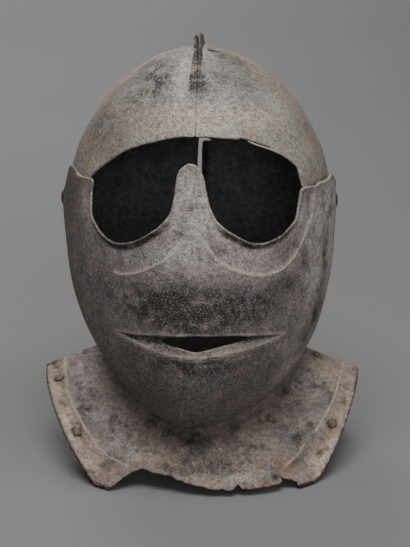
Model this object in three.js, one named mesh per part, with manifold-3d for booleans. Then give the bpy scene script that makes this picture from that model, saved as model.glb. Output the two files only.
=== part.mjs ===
// Close helmet with a mask visor: a two-piece iron skull with a low comb, a one-piece
// mask that turns on temple rivets, and a flared collar plate in front and behind.
// Millimetres, +Z up, the face looks along -Y and the wearer's right side is at -X.
import * as THREE from 'three';
import { mergeVertices } from 'three/addons/utils/BufferGeometryUtils.js';
import Module from 'manifold-3d';

const wasm = await Module();
wasm.setup();

// Driving sizes

const TEMPLE_HEIGHT = 190; // floor to the widest line of the skull
const SKULL_RISE = 112; // that line to the crown
const SKULL_HALF_WIDTH = 97.5;
const SKULL_FRONT = 100; // temples to the forehead
const SKULL_BACK = 120; // temples to the back of the head
const SKULL_WALL = 1.8;
const FACE_WALL = 2;
const COLLAR_WALL = 1.7;
const TEMPLE_GAP = 2; // between the skull and the mask at the temples
const FACE_STANDOFF = 28; // the lips stand this far in front of the forehead line
const CHIN_HEIGHT = 40; // floor to the lowest edge of the mask
const COLLAR_SPREAD = 51; // from the mask's lower edge out to the side of the rim
const COLLAR_THROW = 36; // the same towards the front
const COLLAR_LIFT = 55; // the rim's height at the shoulders
const COLLAR_OVERLAP = 14; // the collar's hidden edge above the mask's lower edge
const RIM_RADIUS = 3; // the turned rim
const SEAM_GAP = 0.3; // between the two halves of the skull
const CRACK_WIDTH = 2.8; // the opened seam at the back
const FIT_GAP = 0.35; // between touching plates, and round each rivet
const COMB_HEIGHT = 9;
const COMB_WALL = 1.9;
const COMB_STEP = 1.6; // the folded edge stands this much taller than the other
const PIVOT_RADIUS = 2.6;
const PIVOT_HEAD = 5.2;
const PIVOT_DOME = 1; // height of the flat pivot heads
const PIVOT_BACK = 8; // pivots in front of the temples' centre line
const RIVET_RADIUS = 1.3;
const RIVET_HEAD = 3.5;
const SMALL_RIVET_HEAD = 2.5;
const BURR_WIDTH = 0.9; // the closed end of a rivet stands this far out round its shank
const BURR_HEIGHT = 1;

// Worked-out sizes

const FACE_HALF_WIDTH = SKULL_HALF_WIDTH + TEMPLE_GAP + FACE_WALL;
const FACE_REACH = SKULL_FRONT + FACE_STANDOFF;
const FACE_BACK = SKULL_FRONT * 0.9; // the mask's sides where they turn in behind the temples
const NECK_HEIGHT = TEMPLE_HEIGHT * 0.38; // the skull's lower edge at the nape

// Sections of the mask, from above the eyes down to the turned-under lower edge. Heights are
// shares of TEMPLE_HEIGHT below the temples and of SKULL_RISE above them, in front and at the
// side. Half-widths are shares of FACE_HALF_WIDTH, reach is a share of FACE_REACH, and
// bluntness is the power that rounds a section: 2 is an ellipse, less gives a keel. wrap is
// how far round the section runs, in degrees from the middle of the face.

const FACE_SECTIONS = [
  { front: 1.54, side: 1.54, left: 0.955, right: 0.955, reach: 0.844, blunt: 1.8, wrap: 96 },
  { front: 1.375, side: 1.375, left: 0.985, right: 0.985, reach: 0.871, blunt: 1.8, wrap: 98 },
  { front: 1.09, side: 1.09, left: 1.0, right: 1.0, reach: 0.914, blunt: 1.8, wrap: 99 },
  { front: 0.895, side: 0.91, left: 1.0, right: 1.003, reach: 0.945, blunt: 1.85, wrap: 98 },
  { front: 0.737, side: 0.78, left: 0.98, right: 0.993, reach: 0.98, blunt: 1.9, wrap: 96 },
  { front: 0.589, side: 0.668, left: 0.941, right: 0.963, reach: 1.0, blunt: 1.9, wrap: 94 },
  { front: 0.453, side: 0.574, left: 0.872, right: 0.92, reach: 0.992, blunt: 1.75, wrap: 92 },
  { front: 0.326, side: 0.505, left: 0.778, right: 0.852, reach: 0.93, blunt: 1.5, wrap: 90 },
  { front: 0.242, side: 0.463, left: 0.7, right: 0.758, reach: 0.828, blunt: 1.35, wrap: 88 },
  { front: 0.21, side: 0.437, left: 0.64, right: 0.68, reach: 0.703, blunt: 1.3, wrap: 87 },
];

// Sections of the front collar, from its hidden top edge inside the mask out to the rim.
// out is the share of the way from the mask's lower edge to the rim, drop the share of the
// fall from that edge to the rim, and rise the share of COLLAR_OVERLAP above it.

const COLLAR_SECTIONS = [
  { out: -0.09, drop: 0, rise: 1, blunt: 1.3 },
  { out: 0, drop: 0, rise: 0, blunt: 1.3 },
  { out: 0.53, drop: 0.53, rise: 0, blunt: 2.0 },
  { out: 1, drop: 1, rise: 0, blunt: 2.5 },
];

// The free edge of the mask: over the temple, round the eye notch, up one side of the nose
// bar, and back. turn is in degrees from the middle of the face and row counts the sections.

const EYE_EDGE = [
  { turn: -104, row: 2.45 },
  { turn: -95, row: 2.3 },
  { turn: -86, row: 2.12 },
  { turn: -79, row: 2.02 },
  { turn: -74.5, row: 1.85 },
  { turn: -71, row: 1.57 },
  { turn: -68, row: 1.36 },
  { turn: -64.5, row: 1.29 },
  { turn: -58.7, row: 1.38 },
  { turn: -54, row: 1.41 },
  { turn: -46.6, row: 1.4 },
  { turn: -46.9, row: 1.7 },
  { turn: -45.6, row: 2.2 },
  { turn: -42, row: 2.5 },
  { turn: -36, row: 2.67 },
  { turn: -30, row: 2.69 },
  { turn: -23, row: 2.57 },
  { turn: -17, row: 2.36 },
  { turn: -11.2, row: 2.0 },
  { turn: -8.4, row: 1.65 },
  { turn: -7.2, row: 1.25 },
  { turn: -6.2, row: 0.98 },
  { turn: -4.2, row: 0.78 },
  { turn: -1.2, row: 0.68 },
  { turn: 1.6, row: 0.78 },
  { turn: 3.8, row: 1.04 },
  { turn: 5, row: 1.35 },
  { turn: 6.2, row: 1.62 },
  { turn: 9, row: 1.97 },
  { turn: 14, row: 2.3 },
  { turn: 18, row: 2.47 },
  { turn: 24, row: 2.61 },
  { turn: 30, row: 2.63 },
  { turn: 37.6, row: 2.52 },
  { turn: 42.8, row: 2.3 },
  { turn: 44.9, row: 2.0 },
  { turn: 46.4, row: 1.75 },
  { turn: 47.7, row: 1.57 },
  { turn: 52, row: 1.55 },
  { turn: 57.8, row: 1.59 },
  { turn: 60.3, row: 1.56 },
  { turn: 65, row: 1.58 },
  { turn: 70.3, row: 1.58 },
  { turn: 74.2, row: 1.54 },
  { turn: 80, row: 1.66 },
  { turn: 87, row: 1.87 },
  { turn: 95, row: 2.12 },
  { turn: 104, row: 2.4 },
];

// The mouth slit, upper and lower lip line

const MOUTH_SLIT = [
  { turn: -13.6, upper: 4.84, lower: 4.86 },
  { turn: -10, upper: 4.75, lower: 4.94 },
  { turn: -5, upper: 4.71, lower: 4.99 },
  { turn: 0.8, upper: 4.69, lower: 5.08 },
  { turn: 5, upper: 4.7, lower: 5.04 },
  { turn: 13, upper: 4.72, lower: 4.95 },
  { turn: 19.3, upper: 4.77, lower: 4.92 },
  { turn: 23.5, upper: 4.85, lower: 4.87 },
];

// The skull's front edge: up the side behind the mask, along the brow and down again. polar
// is the angle from the crown, in degrees.

const BROW_EDGE = [
  { turn: -67, polar: 140 },
  { turn: -65, polar: 121 },
  { turn: -62, polar: 100 },
  { turn: -58, polar: 84 },
  { turn: -54, polar: 76 },
  { turn: -47, polar: 70.6 },
  { turn: -36, polar: 64 },
  { turn: -25, polar: 60 },
  { turn: -12, polar: 57.2 },
  { turn: -2, polar: 56.4 },
  { turn: 9, polar: 56.8 },
  { turn: 23, polar: 58.4 },
  { turn: 38, polar: 63 },
  { turn: 46, polar: 67 },
  { turn: 51, polar: 70.4 },
  { turn: 52.2, polar: 72.4 },
  { turn: 52.5, polar: 76 },
  { turn: 52.8, polar: 80 },
  { turn: 53.5, polar: 86 },
  { turn: 57.5, polar: 96 },
  { turn: 62, polar: 108 },
  { turn: 65, polar: 121 },
  { turn: 67, polar: 140 },
];

// The broken front edge of the collar, between the two corners where the rim survives

const BROKEN_EDGE = [
  { turn: -31.2, row: 3.35 },
  { turn: -29.4, row: 3.0 },
  { turn: -26.6, row: 2.68 },
  { turn: -22.2, row: 2.42 },
  { turn: -16.5, row: 2.44 },
  { turn: -10.2, row: 2.5 },
  { turn: -5, row: 2.66 },
  { turn: 0.6, row: 2.8 },
  { turn: 6, row: 2.9 },
  { turn: 10.5, row: 2.94 },
  { turn: 13.4, row: 2.94 },
  { turn: 15.4, row: 2.83 },
  { turn: 16.4, row: 2.83 },
  { turn: 17.4, row: 2.94 },
  { turn: 21, row: 2.95 },
  { turn: 26, row: 2.95 },
  { turn: 30.6, row: 2.95 },
  { turn: 32.6, row: 2.9 },
  { turn: 33.4, row: 2.77 },
  { turn: 35, row: 2.85 },
  { turn: 37.2, row: 2.94 },
  { turn: 38.4, row: 3.35 },
];

// The comb, from its front end over the crown to the nape. height is a share of
// COMB_HEIGHT, and lean a share of it that each top edge stands out sideways.

const COMB = [
  { polar: 34, height: 0.03, left: 0.0, right: 0.0 },
  { polar: 27, height: 0.12, left: 0.02, right: 0.0 },
  { polar: 17, height: 0.32, left: 0.12, right: 0.0 },
  { polar: 8, height: 0.72, left: 0.24, right: -0.06 },
  { polar: -3, height: 1.0, left: 0.3, right: -0.1 },
  { polar: -18, height: 0.95, left: 0.2, right: -0.02 },
  { polar: -34, height: 0.7, left: 0.06, right: 0.02 },
  { polar: -50, height: 0.4, left: 0.0, right: 0.0 },
  { polar: -64, height: 0.05, left: 0.0, right: 0.0 },
];

const RAD = Math.PI / 180;

// A smooth value between the rows of a table, carried on straight past its ends
function between(rows, column, at) {
  const last = rows.length - 1;
  const i = Math.min(Math.max(Math.floor(at), 0), last - 1);
  const p1 = rows[i][column];
  const p2 = rows[i + 1][column];
  const f = at - i;
  if (f < 0 || f > 1) return p1 + (p2 - p1) * f;
  const p0 = i > 0 ? rows[i - 1][column] : 2 * p1 - p2;
  const p3 = i + 2 <= last ? rows[i + 2][column] : 2 * p2 - p1;
  const bend = 2 * p0 - 5 * p1 + 4 * p2 - p3;
  const twist = -p0 + 3 * p1 - 3 * p2 + p3;
  return 0.5 * (2 * p1 + (p2 - p0) * f + bend * f * f + twist * f * f * f);
}

// A table sampled more finely, with count steps between each two rows
function traced(rows, columns, count) {
  const points = [];
  for (let k = 0; k <= (rows.length - 1) * count; k += 1) {
    points.push(Object.fromEntries(columns.map((name) => [name, between(rows, name, k / count)])));
  }
  return points;
}

// A height given as a share: below 1 of the temple height, above 1 of the skull's rise
function heightOf(share) {
  return share < 1 ? share * TEMPLE_HEIGHT : TEMPLE_HEIGHT + (share - 1) * SKULL_RISE;
}

// A level section: half-width, front or back reach, and the power that rounds it
function section(turn, halfWidth, front, back, blunt, z) {
  const s = Math.sin(turn * RAD);
  const depth = Math.sqrt(Math.max(1 - Math.abs(s) ** blunt, 0));
  const y = Math.cos(turn * RAD) > 0 ? -front * depth : back * depth;
  return new THREE.Vector3(halfWidth * s, y, z);
}

// Surfaces

const SKULL_TIP = 0.05; // how much the crown is drawn in to a blunt point
const SKULL_TAPER = 0.36; // how much the skull narrows towards the neck
const TEMPLE_SWELL = 0.04; // the last swelling at the temples
const SKULL_DROP = TEMPLE_HEIGHT * 0.79; // depth of the lower curve
const CRACK = { end: 70, full: 82 }; // polar angles where the opened seam ends and is widest

function skullPoint(side, turn, polar) {
  const u = Math.sin(polar * RAD);
  const v = Math.cos(polar * RAD);
  const shrink = v > 0 ? u * (1 - SKULL_TIP * v * v) : 1 - SKULL_TAPER * v * v;
  const z = TEMPLE_HEIGHT + (v > 0 ? SKULL_RISE : SKULL_DROP) * v;
  const wide = SKULL_HALF_WIDTH * (1 - TEMPLE_SWELL + TEMPLE_SWELL * u ** 6) * shrink;
  const deep = (Math.cos(turn * RAD) > 0 ? SKULL_FRONT : SKULL_BACK) * shrink;
  // the seam stands open at the back, from the nape up to the end of the crack
  const rear = Math.max(-Math.cos(turn * RAD), 0) ** 6;
  const open = THREE.MathUtils.smoothstep(polar, CRACK.end, CRACK.full) * rear;
  const parting = SEAM_GAP / 2 + ((CRACK_WIDTH - SEAM_GAP) / 2) * open;
  const x = Math.abs(wide * Math.sin(turn * RAD)) + parting;
  return new THREE.Vector3(side * x, -deep * Math.cos(turn * RAD), z);
}

function facePoint(turn, row) {
  const at = (name) => between(FACE_SECTIONS, name, row);
  const round = 1 - Math.max(Math.cos(turn * RAD), 0);
  const front = heightOf(at('front'));
  const z = front + (heightOf(at('side')) - front) * round;
  const half = FACE_HALF_WIDTH * at(turn < 0 ? 'left' : 'right');
  return section(turn, half, FACE_REACH * at('reach'), FACE_BACK, at('blunt'), z);
}

// The turned rim is a polygon that leaves the plate at the start angle and stands on a flat
const ROLL = { start: 67.5, step: 45, corners: 7 };
const ROLL_RISE = RIM_RADIUS * Math.sin(ROLL.start * RAD);

// The rim lies on the floor in front and climbs to the shoulder past a given share of the width
const RIM_CLIMB = { left: 0.62, right: 0.72 };
const RIM_POWER = { left: 1.1, right: 1.4 };

function collarPoint(turn, row) {
  const edge = FACE_SECTIONS[FACE_SECTIONS.length - 1];
  const side = turn < 0 ? 'left' : 'right';
  const out = between(COLLAR_SECTIONS, 'out', row);
  const drop = between(COLLAR_SECTIONS, 'drop', row);
  const rise = between(COLLAR_SECTIONS, 'rise', row);
  const blunt = between(COLLAR_SECTIONS, 'blunt', row);
  const inset = FACE_WALL / 2 + FIT_GAP;
  const half = FACE_HALF_WIDTH * edge[side] - inset + COLLAR_SPREAD * out;
  const reach = FACE_REACH * edge.reach - inset + COLLAR_THROW * out;
  const round = 1 - Math.max(Math.cos(turn * RAD), 0);
  const climb = RIM_CLIMB[side];
  const share = Math.max(0, (Math.abs(Math.sin(turn * RAD)) - climb) / (1 - climb));
  const top = CHIN_HEIGHT + (heightOf(edge.side) - CHIN_HEIGHT) * round;
  const rim = 2 * ROLL_RISE + COLLAR_LIFT * share ** RIM_POWER[side];
  const z = top + (rim - top) * drop + COLLAR_OVERLAP * rise;
  return section(turn, half, reach, reach, blunt, z);
}

// Skins and solids

const TURN_PROBE = 0.4; // degrees to each side of a point when its normal is worked out
const ROW_PROBE = 0.02; // rows above and below it
const POLAR_PROBE = 0.4; // on the skull, degrees above and below it

function normalOf(surface, a, b, probe = ROW_PROBE) {
  const along = surface(a + TURN_PROBE, b).sub(surface(a - TURN_PROBE, b));
  const down = surface(a, b + probe).sub(surface(a, b - probe));
  return down.cross(along).normalize();
}

// Joins knots that share a place and drops the triangles that this closes up
const WELD = 1e-3;

function welded(geometry) {
  const merged = mergeVertices(geometry, WELD);
  const index = merged.index.array;
  const kept = [];
  for (let k = 0; k < index.length; k += 3) {
    const [a, b, c] = [index[k], index[k + 1], index[k + 2]];
    if (a !== b && b !== c && c !== a) kept.push(a, b, c);
  }
  merged.setIndex(kept);
  return merged;
}

class Skin {
  constructor() {
    this.points = [];
    this.faces = [];
  }

  add(p) {
    this.points.push(p.x, p.y, p.z);
    return this.points.length / 3 - 1;
  }

  quad(a, b, c, d) {
    this.faces.push([a, b, c], [a, c, d]);
  }

  geometry() {
    const raw = new THREE.BufferGeometry();
    raw.setAttribute('position', new THREE.Float32BufferAttribute(this.points, 3));
    raw.setIndex(this.faces.flat());
    return outward(welded(raw));
  }
}

// Turns every triangle round if the closed mesh is inside out
function outward(geometry) {
  const p = geometry.attributes.position;
  const index = geometry.index.array;
  const [a, b, c] = [new THREE.Vector3(), new THREE.Vector3(), new THREE.Vector3()];
  let volume = 0;
  for (let k = 0; k < index.length; k += 3) {
    a.fromBufferAttribute(p, index[k]);
    b.fromBufferAttribute(p, index[k + 1]);
    c.fromBufferAttribute(p, index[k + 2]);
    volume += a.dot(b.cross(c));
  }
  if (volume < 0) {
    for (let k = 0; k < index.length; k += 3) {
      [index[k + 1], index[k + 2]] = [index[k + 2], index[k + 1]];
    }
  }
  return geometry;
}

// A closed plate over a grid: sides(i, j) gives the outer and the inner point of each knot
function plate(columns, rows, sides) {
  const skin = new Skin();
  const outer = [];
  const inner = [];
  for (let i = 0; i <= columns; i += 1) {
    outer.push([]);
    inner.push([]);
    for (let j = 0; j <= rows; j += 1) {
      const [o, n] = sides(i, j);
      outer[i].push(skin.add(o));
      inner[i].push(skin.add(n));
    }
  }
  for (let i = 0; i < columns; i += 1) {
    for (let j = 0; j < rows; j += 1) {
      skin.quad(outer[i][j], outer[i + 1][j], outer[i + 1][j + 1], outer[i][j + 1]);
      skin.quad(inner[i][j], inner[i][j + 1], inner[i + 1][j + 1], inner[i + 1][j]);
    }
    skin.quad(outer[i][0], inner[i][0], inner[i + 1][0], outer[i + 1][0]);
    skin.quad(outer[i][rows], outer[i + 1][rows], inner[i + 1][rows], inner[i][rows]);
  }
  for (let j = 0; j < rows; j += 1) {
    skin.quad(outer[0][j], outer[0][j + 1], inner[0][j + 1], inner[0][j]);
    skin.quad(outer[columns][j], inner[columns][j], inner[columns][j + 1], outer[columns][j + 1]);
  }
  return skin.geometry();
}

// A closed bar through a row of like outlines, with flat ends
function bar(outlines, capOutline) {
  const skin = new Skin();
  const rings = outlines.map((ring) => ring.map((p) => skin.add(p)));
  const n = rings[0].length;
  for (let i = 0; i + 1 < rings.length; i += 1) {
    for (let k = 0; k < n; k += 1) {
      const m = (k + 1) % n;
      skin.quad(rings[i][k], rings[i + 1][k], rings[i + 1][m], rings[i][m]);
    }
  }
  for (const i of [0, rings.length - 1]) {
    const outline = capOutline(i);
    const ring = rings[i];
    const asIs = (i === 0) !== THREE.ShapeUtils.isClockWise(outline);
    for (const [a, b, c] of THREE.ShapeUtils.triangulateShape(outline, [])) {
      skin.faces.push(asIs ? [ring[a], ring[b], ring[c]] : [ring[a], ring[c], ring[b]]);
    }
  }
  return skin.geometry();
}

function toSolid(geometry) {
  const clean = geometry.clone();
  clean.deleteAttribute('normal');
  clean.deleteAttribute('uv');
  const merged = welded(clean);
  const vertProperties = new Float32Array(merged.attributes.position.array);
  const triVerts = new Uint32Array(merged.index.array);
  const mesh = new wasm.Mesh({ numProp: 3, vertProperties, triVerts });
  mesh.merge();
  return new wasm.Manifold(mesh);
}

function toGeometry(solid) {
  const { vertProperties, triVerts } = solid.getMesh();
  const geometry = new THREE.BufferGeometry();
  geometry.setAttribute('position', new THREE.BufferAttribute(vertProperties, 3));
  geometry.setIndex(new THREE.BufferAttribute(triVerts, 1));
  return geometry.toNonIndexed();
}

// A cutter that follows a surface: between two rows at each column, and through the plate
const CUT_DEPTH = 9;

function cutter(pointAt, columns, steps, probe = ROW_PROBE) {
  return toSolid(plate(columns.length - 1, steps, (i, j) => {
    const { turn, from, to } = columns[i];
    const v = from + ((to - from) * j) / steps;
    const middle = pointAt(turn, v);
    const reach = normalOf(pointAt, turn, v, probe).multiplyScalar(CUT_DEPTH);
    return [middle.clone().add(reach), middle.clone().sub(reach)];
  }));
}

// A round tool along an axis, and how far it runs to each side of the plate that it bores
const PIN_SIDES = 10;
const TOOL_REACH = { pivot: 14, mask: 12, collar: 6, skull: 3 };

function pinAt(place, axis, radius, halfLength) {
  const geometry = new THREE.CylinderGeometry(radius, radius, 2 * halfLength, PIN_SIDES);
  const turn = new THREE.Quaternion().setFromUnitVectors(new THREE.Vector3(0, 1, 0), axis);
  return geometry.applyQuaternion(turn).translate(place.x, place.y, place.z);
}

// A domed rivet: a head outside, a shank through the plates, and a small burr inside
const DOME_CURVE = [
  { radius: 1, height: 0 },
  { radius: 0.8, height: 0.72 },
  { radius: 0, height: 1 },
];

function rivetAt(place, axis, { head, dome, shank, grip }) {
  const burr = shank + BURR_WIDTH;
  const profile = [
    new THREE.Vector2(0, -grip - BURR_HEIGHT),
    new THREE.Vector2(burr, -grip - BURR_HEIGHT),
    new THREE.Vector2(burr, -grip),
    new THREE.Vector2(shank, -grip),
    new THREE.Vector2(shank, 0),
    ...DOME_CURVE.map(({ radius, height }) => new THREE.Vector2(radius * head, height * dome)),
  ];
  const geometry = new THREE.LatheGeometry(profile, PIN_SIDES);
  const turn = new THREE.Quaternion().setFromUnitVectors(new THREE.Vector3(0, 1, 0), axis);
  geometry.applyQuaternion(turn);
  geometry.translate(place.x, place.y, place.z);
  return toGeometry(toSolid(geometry));
}

// The skull

const SKULL_COLUMNS = 18;
const SKULL_ROWS = 13;
const LOWER_EDGE = { side: 123, nape: 141 }; // polar angle of the lower edge
const LOWER_CURVE = { from: 90, to: 112 }; // turn where it drops from one to the other
const BELOW_SKULL = 155; // polar angle where the brow cut ends

function skullSolid(side) {
  const shell = toSolid(plate(SKULL_COLUMNS, SKULL_ROWS, (i, j) => {
    const turn = (180 * i) / SKULL_COLUMNS;
    const low = THREE.MathUtils.smoothstep(turn, LOWER_CURVE.from, LOWER_CURVE.to);
    const end = LOWER_EDGE.side + (LOWER_EDGE.nape - LOWER_EDGE.side) * low;
    const polar = (end * j) / SKULL_ROWS;
    const outer = skullPoint(side, turn, polar);
    const normal = j === 0 ? new THREE.Vector3(0, 0, 1) : skullNormal(side, turn, polar);
    const inner = outer.clone().addScaledVector(normal, -SKULL_WALL);
    // the meeting edges stay in their own plane
    if (i === 0 || i === SKULL_COLUMNS || j === 0) inner.x = outer.x;
    return [outer, inner];
  }));
  const brow = traced(BROW_EDGE, ['turn', 'polar'], 2).map(({ turn, polar }) => ({
    turn,
    from: polar,
    to: BELOW_SKULL,
  }));
  const front = cutter(browSurface, brow, 6, POLAR_PROBE);
  const comb = toSolid(combFlange(side));
  const pivot = pivotPlace(side);
  const bore = toSolid(pinAt(pivot, AXIS_X, PIVOT_RADIUS + FIT_GAP, TOOL_REACH.pivot));
  let solid = shell.subtract(front).add(comb).subtract(bore);
  for (const seat of rearSeats()) {
    const reach = seat.grip + TOOL_REACH.skull;
    solid = solid.subtract(toSolid(pinAt(seat.place, seat.axis, seat.bore, reach)));
  }
  return solid;
}

// The two halves as one surface, for the cut along the brow
function browSurface(turn, polar) {
  const p = skullPoint(1, Math.abs(turn), polar);
  p.x *= Math.sign(turn) || 0;
  return p;
}

function skullNormal(side, turn, polar) {
  const clear = Math.min(Math.max(turn, TURN_PROBE), 180 - TURN_PROBE);
  const normal = normalOf((a, b) => skullPoint(1, a, b), clear, polar, POLAR_PROBE);
  normal.x *= side;
  return normal;
}

// The turned-up edge of one half along the seam
const COMB_ROOT = 0.9; // its foot is sunk this far into the skull
const COMB_PROFILE = [
  { across: 0, up: 0 },
  { across: 1, up: 0 },
  { across: 1, up: 0.5 },
  { across: 0.8, up: 1 },
  { across: 0, up: 1 },
  { across: 0, up: 0.5 },
];

function combFlange(side) {
  const stations = traced(COMB, ['polar', 'height', 'left', 'right'], 3);
  const tall = side > 0 ? COMB_STEP : 0;
  const corner = (station, across, up) => {
    const turn = station.polar > 0 ? 0 : 180;
    const foot = skullPoint(side, turn, Math.abs(station.polar));
    const out = foot.clone().sub(new THREE.Vector3(foot.x, 0, TEMPLE_HEIGHT)).normalize();
    const lean = COMB_HEIGHT * station[side < 0 ? 'left' : 'right'] * up ** 2;
    const height = (COMB_HEIGHT + tall) * station.height * up - COMB_ROOT * (1 - up);
    foot.addScaledVector(out, height);
    foot.x = side * (SEAM_GAP / 2 + COMB_WALL * across + lean);
    return foot;
  };
  const ringAt = (station) => COMB_PROFILE.map(({ across, up }) => corner(station, across, up));
  return bar(
    stations.map(ringAt),
    () => COMB_PROFILE.map(({ across, up }) => new THREE.Vector2(across, up)),
  );
}

const AXIS_X = new THREE.Vector3(1, 0, 0);

function pivotPlace(side) {
  return new THREE.Vector3(side * FACE_HALF_WIDTH, -PIVOT_BACK, TEMPLE_HEIGHT);
}

// The mask

const FACE_COLUMNS = 30;
const FACE_ROWS = 20;
const ABOVE_MASK = -0.6; // a row past the first section, where the cut over the eyes starts

function faceSolid() {
  const last = FACE_SECTIONS.length - 1;
  const shell = toSolid(plate(FACE_COLUMNS, FACE_ROWS, (i, j) => {
    const row = (last * j) / FACE_ROWS;
    const turn = between(FACE_SECTIONS, 'wrap', row) * ((2 * i) / FACE_COLUMNS - 1);
    const outer = facePoint(turn, row);
    const inner = outer.clone().addScaledVector(normalOf(facePoint, turn, row), -FACE_WALL);
    return [outer, inner];
  }));
  const eyes = traced(EYE_EDGE, ['turn', 'row'], 2).map(({ turn, row }) => ({
    turn,
    from: ABOVE_MASK,
    to: row,
  }));
  const slit = traced(MOUTH_SLIT, ['turn', 'upper', 'lower'], 2).map(({ turn, upper, lower }) => ({
    turn,
    from: upper,
    to: lower,
  }));
  let solid = shell.subtract(cutter(facePoint, eyes, 5)).subtract(cutter(facePoint, slit, 1));
  for (const side of [-1, 1]) {
    const bore = pinAt(pivotPlace(side), AXIS_X, PIVOT_RADIUS + FIT_GAP, TOOL_REACH.pivot);
    solid = solid.subtract(toSolid(bore));
  }
  for (const seat of collarSeats()) {
    solid = solid.subtract(toSolid(pinAt(seat.place, seat.axis, seat.bore, TOOL_REACH.mask)));
  }
  return solid;
}

// The collar plates

const FRONT_GRID = { columns: 28, steps: 9 };
const REAR_GRID = { columns: 20, steps: 6 };
const COLLAR_END = 87; // degrees from the middle to each end of the front plate
const PAST_RIM = 3.7; // a row beyond the rim, where the cut along the broken edge ends

// The outline of a collar plate at one station: the outer face from the top edge to the rim,
// round the turned rim, and back up the inner face
function collarOutline(surface, turn, steps) {
  const last = COLLAR_SECTIONS.length - 1;
  const outer = [];
  const inner = [];
  for (let k = 0; k <= steps; k += 1) {
    const row = (last * k) / steps;
    const p = surface(turn, row);
    outer.push(p);
    const back = normalOf(surface, turn, row).multiplyScalar(-COLLAR_WALL);
    inner.unshift(p.clone().add(back));
  }
  inner.shift();
  const rim = outer[outer.length - 1];
  const out = new THREE.Vector3(rim.x, rim.y, 0).normalize();
  const centre = rim.clone();
  centre.z -= ROLL_RISE;
  const roll = [];
  for (let k = 0; k < ROLL.corners; k += 1) {
    const angle = (ROLL.start - ROLL.step * k) * RAD;
    const corner = centre.clone().addScaledVector(out, RIM_RADIUS * Math.cos(angle));
    corner.z += RIM_RADIUS * Math.sin(angle);
    roll.push(corner);
  }
  return [...outer, ...roll, ...inner];
}

function collarBar(surface, from, to, { columns, steps }) {
  const rings = [];
  for (let i = 0; i <= columns; i += 1) {
    rings.push(collarOutline(surface, from + ((to - from) * i) / columns, steps));
  }
  return bar(rings, (i) => rings[i].map((p) => new THREE.Vector2(Math.hypot(p.x, p.y), p.z)));
}

function collarFrontSolid() {
  const broken = traced(BROKEN_EDGE, ['turn', 'row'], 2).map(({ turn, row }) => ({
    turn,
    from: row,
    to: PAST_RIM,
  }));
  let solid = toSolid(collarBar(collarPoint, -COLLAR_END, COLLAR_END, FRONT_GRID));
  solid = solid.subtract(cutter(collarPoint, broken, 3));
  for (const seat of [...borderRivets(), ...collarSeats()]) {
    solid = solid.subtract(toSolid(pinAt(seat.place, seat.axis, seat.bore, TOOL_REACH.collar)));
  }
  return solid;
}

// The rear plate follows the skull's lower edge and stands on a narrower rim
const REAR_TOP = TEMPLE_HEIGHT * 0.47;
const REAR_SPREAD = 22;
const REAR_THROW = 26;
const REAR_LIFT = 33;
const REAR_CLIMB = { from: 0.5, power: 1.3 }; // where the rim starts to climb, and how
const REAR_FLARE = { from: 0.2, power: 1.4 }; // the same for its spread
const REAR_END = 97;
const FACET_ROOM = 0.4; // keeps the flat faces of the plate clear of the skull's

function rearPoint(turn, row) {
  const last = COLLAR_SECTIONS.length - 1;
  const s = Math.abs(Math.sin(turn * RAD));
  const polarAt = (z) => Math.acos((z - TEMPLE_HEIGHT) / SKULL_DROP) / RAD;
  const past = (value, { from, power }) => (Math.max(0, value - from) / (1 - from)) ** power;
  const rim = 2 * ROLL_RISE + REAR_LIFT * past(s, REAR_CLIMB);
  const z = REAR_TOP + (rim - REAR_TOP) * (row / last);
  // the neck stays on the skull down to its lower edge and flares below it
  const hold = skullPoint(1, 90, polarAt(Math.max(z, NECK_HEIGHT)));
  const nape = skullPoint(1, 180, polarAt(Math.max(z, NECK_HEIGHT)));
  const clear = COLLAR_WALL + FIT_GAP + FACET_ROOM;
  const flare = past(row / last, REAR_FLARE);
  const half = hold.x + clear + REAR_SPREAD * flare;
  const back = nape.y + clear + REAR_THROW * flare;
  return section(turn, half, back, back, 2, z);
}

function collarRearSolid() {
  let solid = toSolid(collarBar(rearPoint, REAR_END, 360 - REAR_END, REAR_GRID));
  for (const seat of rearSeats()) {
    solid = solid.subtract(toSolid(pinAt(seat.place, seat.axis, seat.bore, TOOL_REACH.collar)));
  }
  return solid;
}

// Rivets

const HEAD_LIFT = 0.08; // a flat head on a rounded plate stands off by this share of its radius
const DOME_SHARE = 0.5; // a domed head's height, as a share of its radius
const PIVOT_SLACK = 2.6; // the pivots reach this far past the plates, into the curved skull

const BORDER_RIVETS = [
  { name: 'border_rivet_left_upper', turn: -74.5, row: 2.7, head: RIVET_HEAD },
  { name: 'border_rivet_left_lower', turn: -52.3, row: 2.74, head: RIVET_HEAD },
  { name: 'border_rivet_right_lower', turn: 61.5, row: 2.74, head: RIVET_HEAD },
  { name: 'border_rivet_right_upper', turn: 83.8, row: 1.8, head: SMALL_RIVET_HEAD },
  { name: 'field_rivet_left', turn: -27.4, row: 1.34, head: SMALL_RIVET_HEAD },
  { name: 'field_rivet_right', turn: 42.4, row: 1.51, head: SMALL_RIVET_HEAD },
];

function seatOn(surface, { name, turn, row, head }, thickness) {
  const axis = normalOf(surface, turn, row);
  const lift = FIT_GAP + HEAD_LIFT * head;
  const place = surface(turn, row).addScaledVector(axis, lift);
  return { name, place, axis, head, grip: thickness + 2 * lift, bore: RIVET_RADIUS + FIT_GAP };
}

function borderRivets() {
  return BORDER_RIVETS.map((row) => seatOn(collarPoint, row, COLLAR_WALL));
}

// The rivets that hold the front collar inside the mask's turned-under edge
const COLLAR_RIVETS = [
  { name: 'collar_rivet_left', turn: -72, row: 8.55, head: SMALL_RIVET_HEAD },
  { name: 'collar_rivet_right', turn: 72, row: 8.55, head: SMALL_RIVET_HEAD },
];

function collarSeats() {
  return COLLAR_RIVETS.map((row) => seatOn(facePoint, row, FACE_WALL + COLLAR_WALL + FIT_GAP));
}

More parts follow.
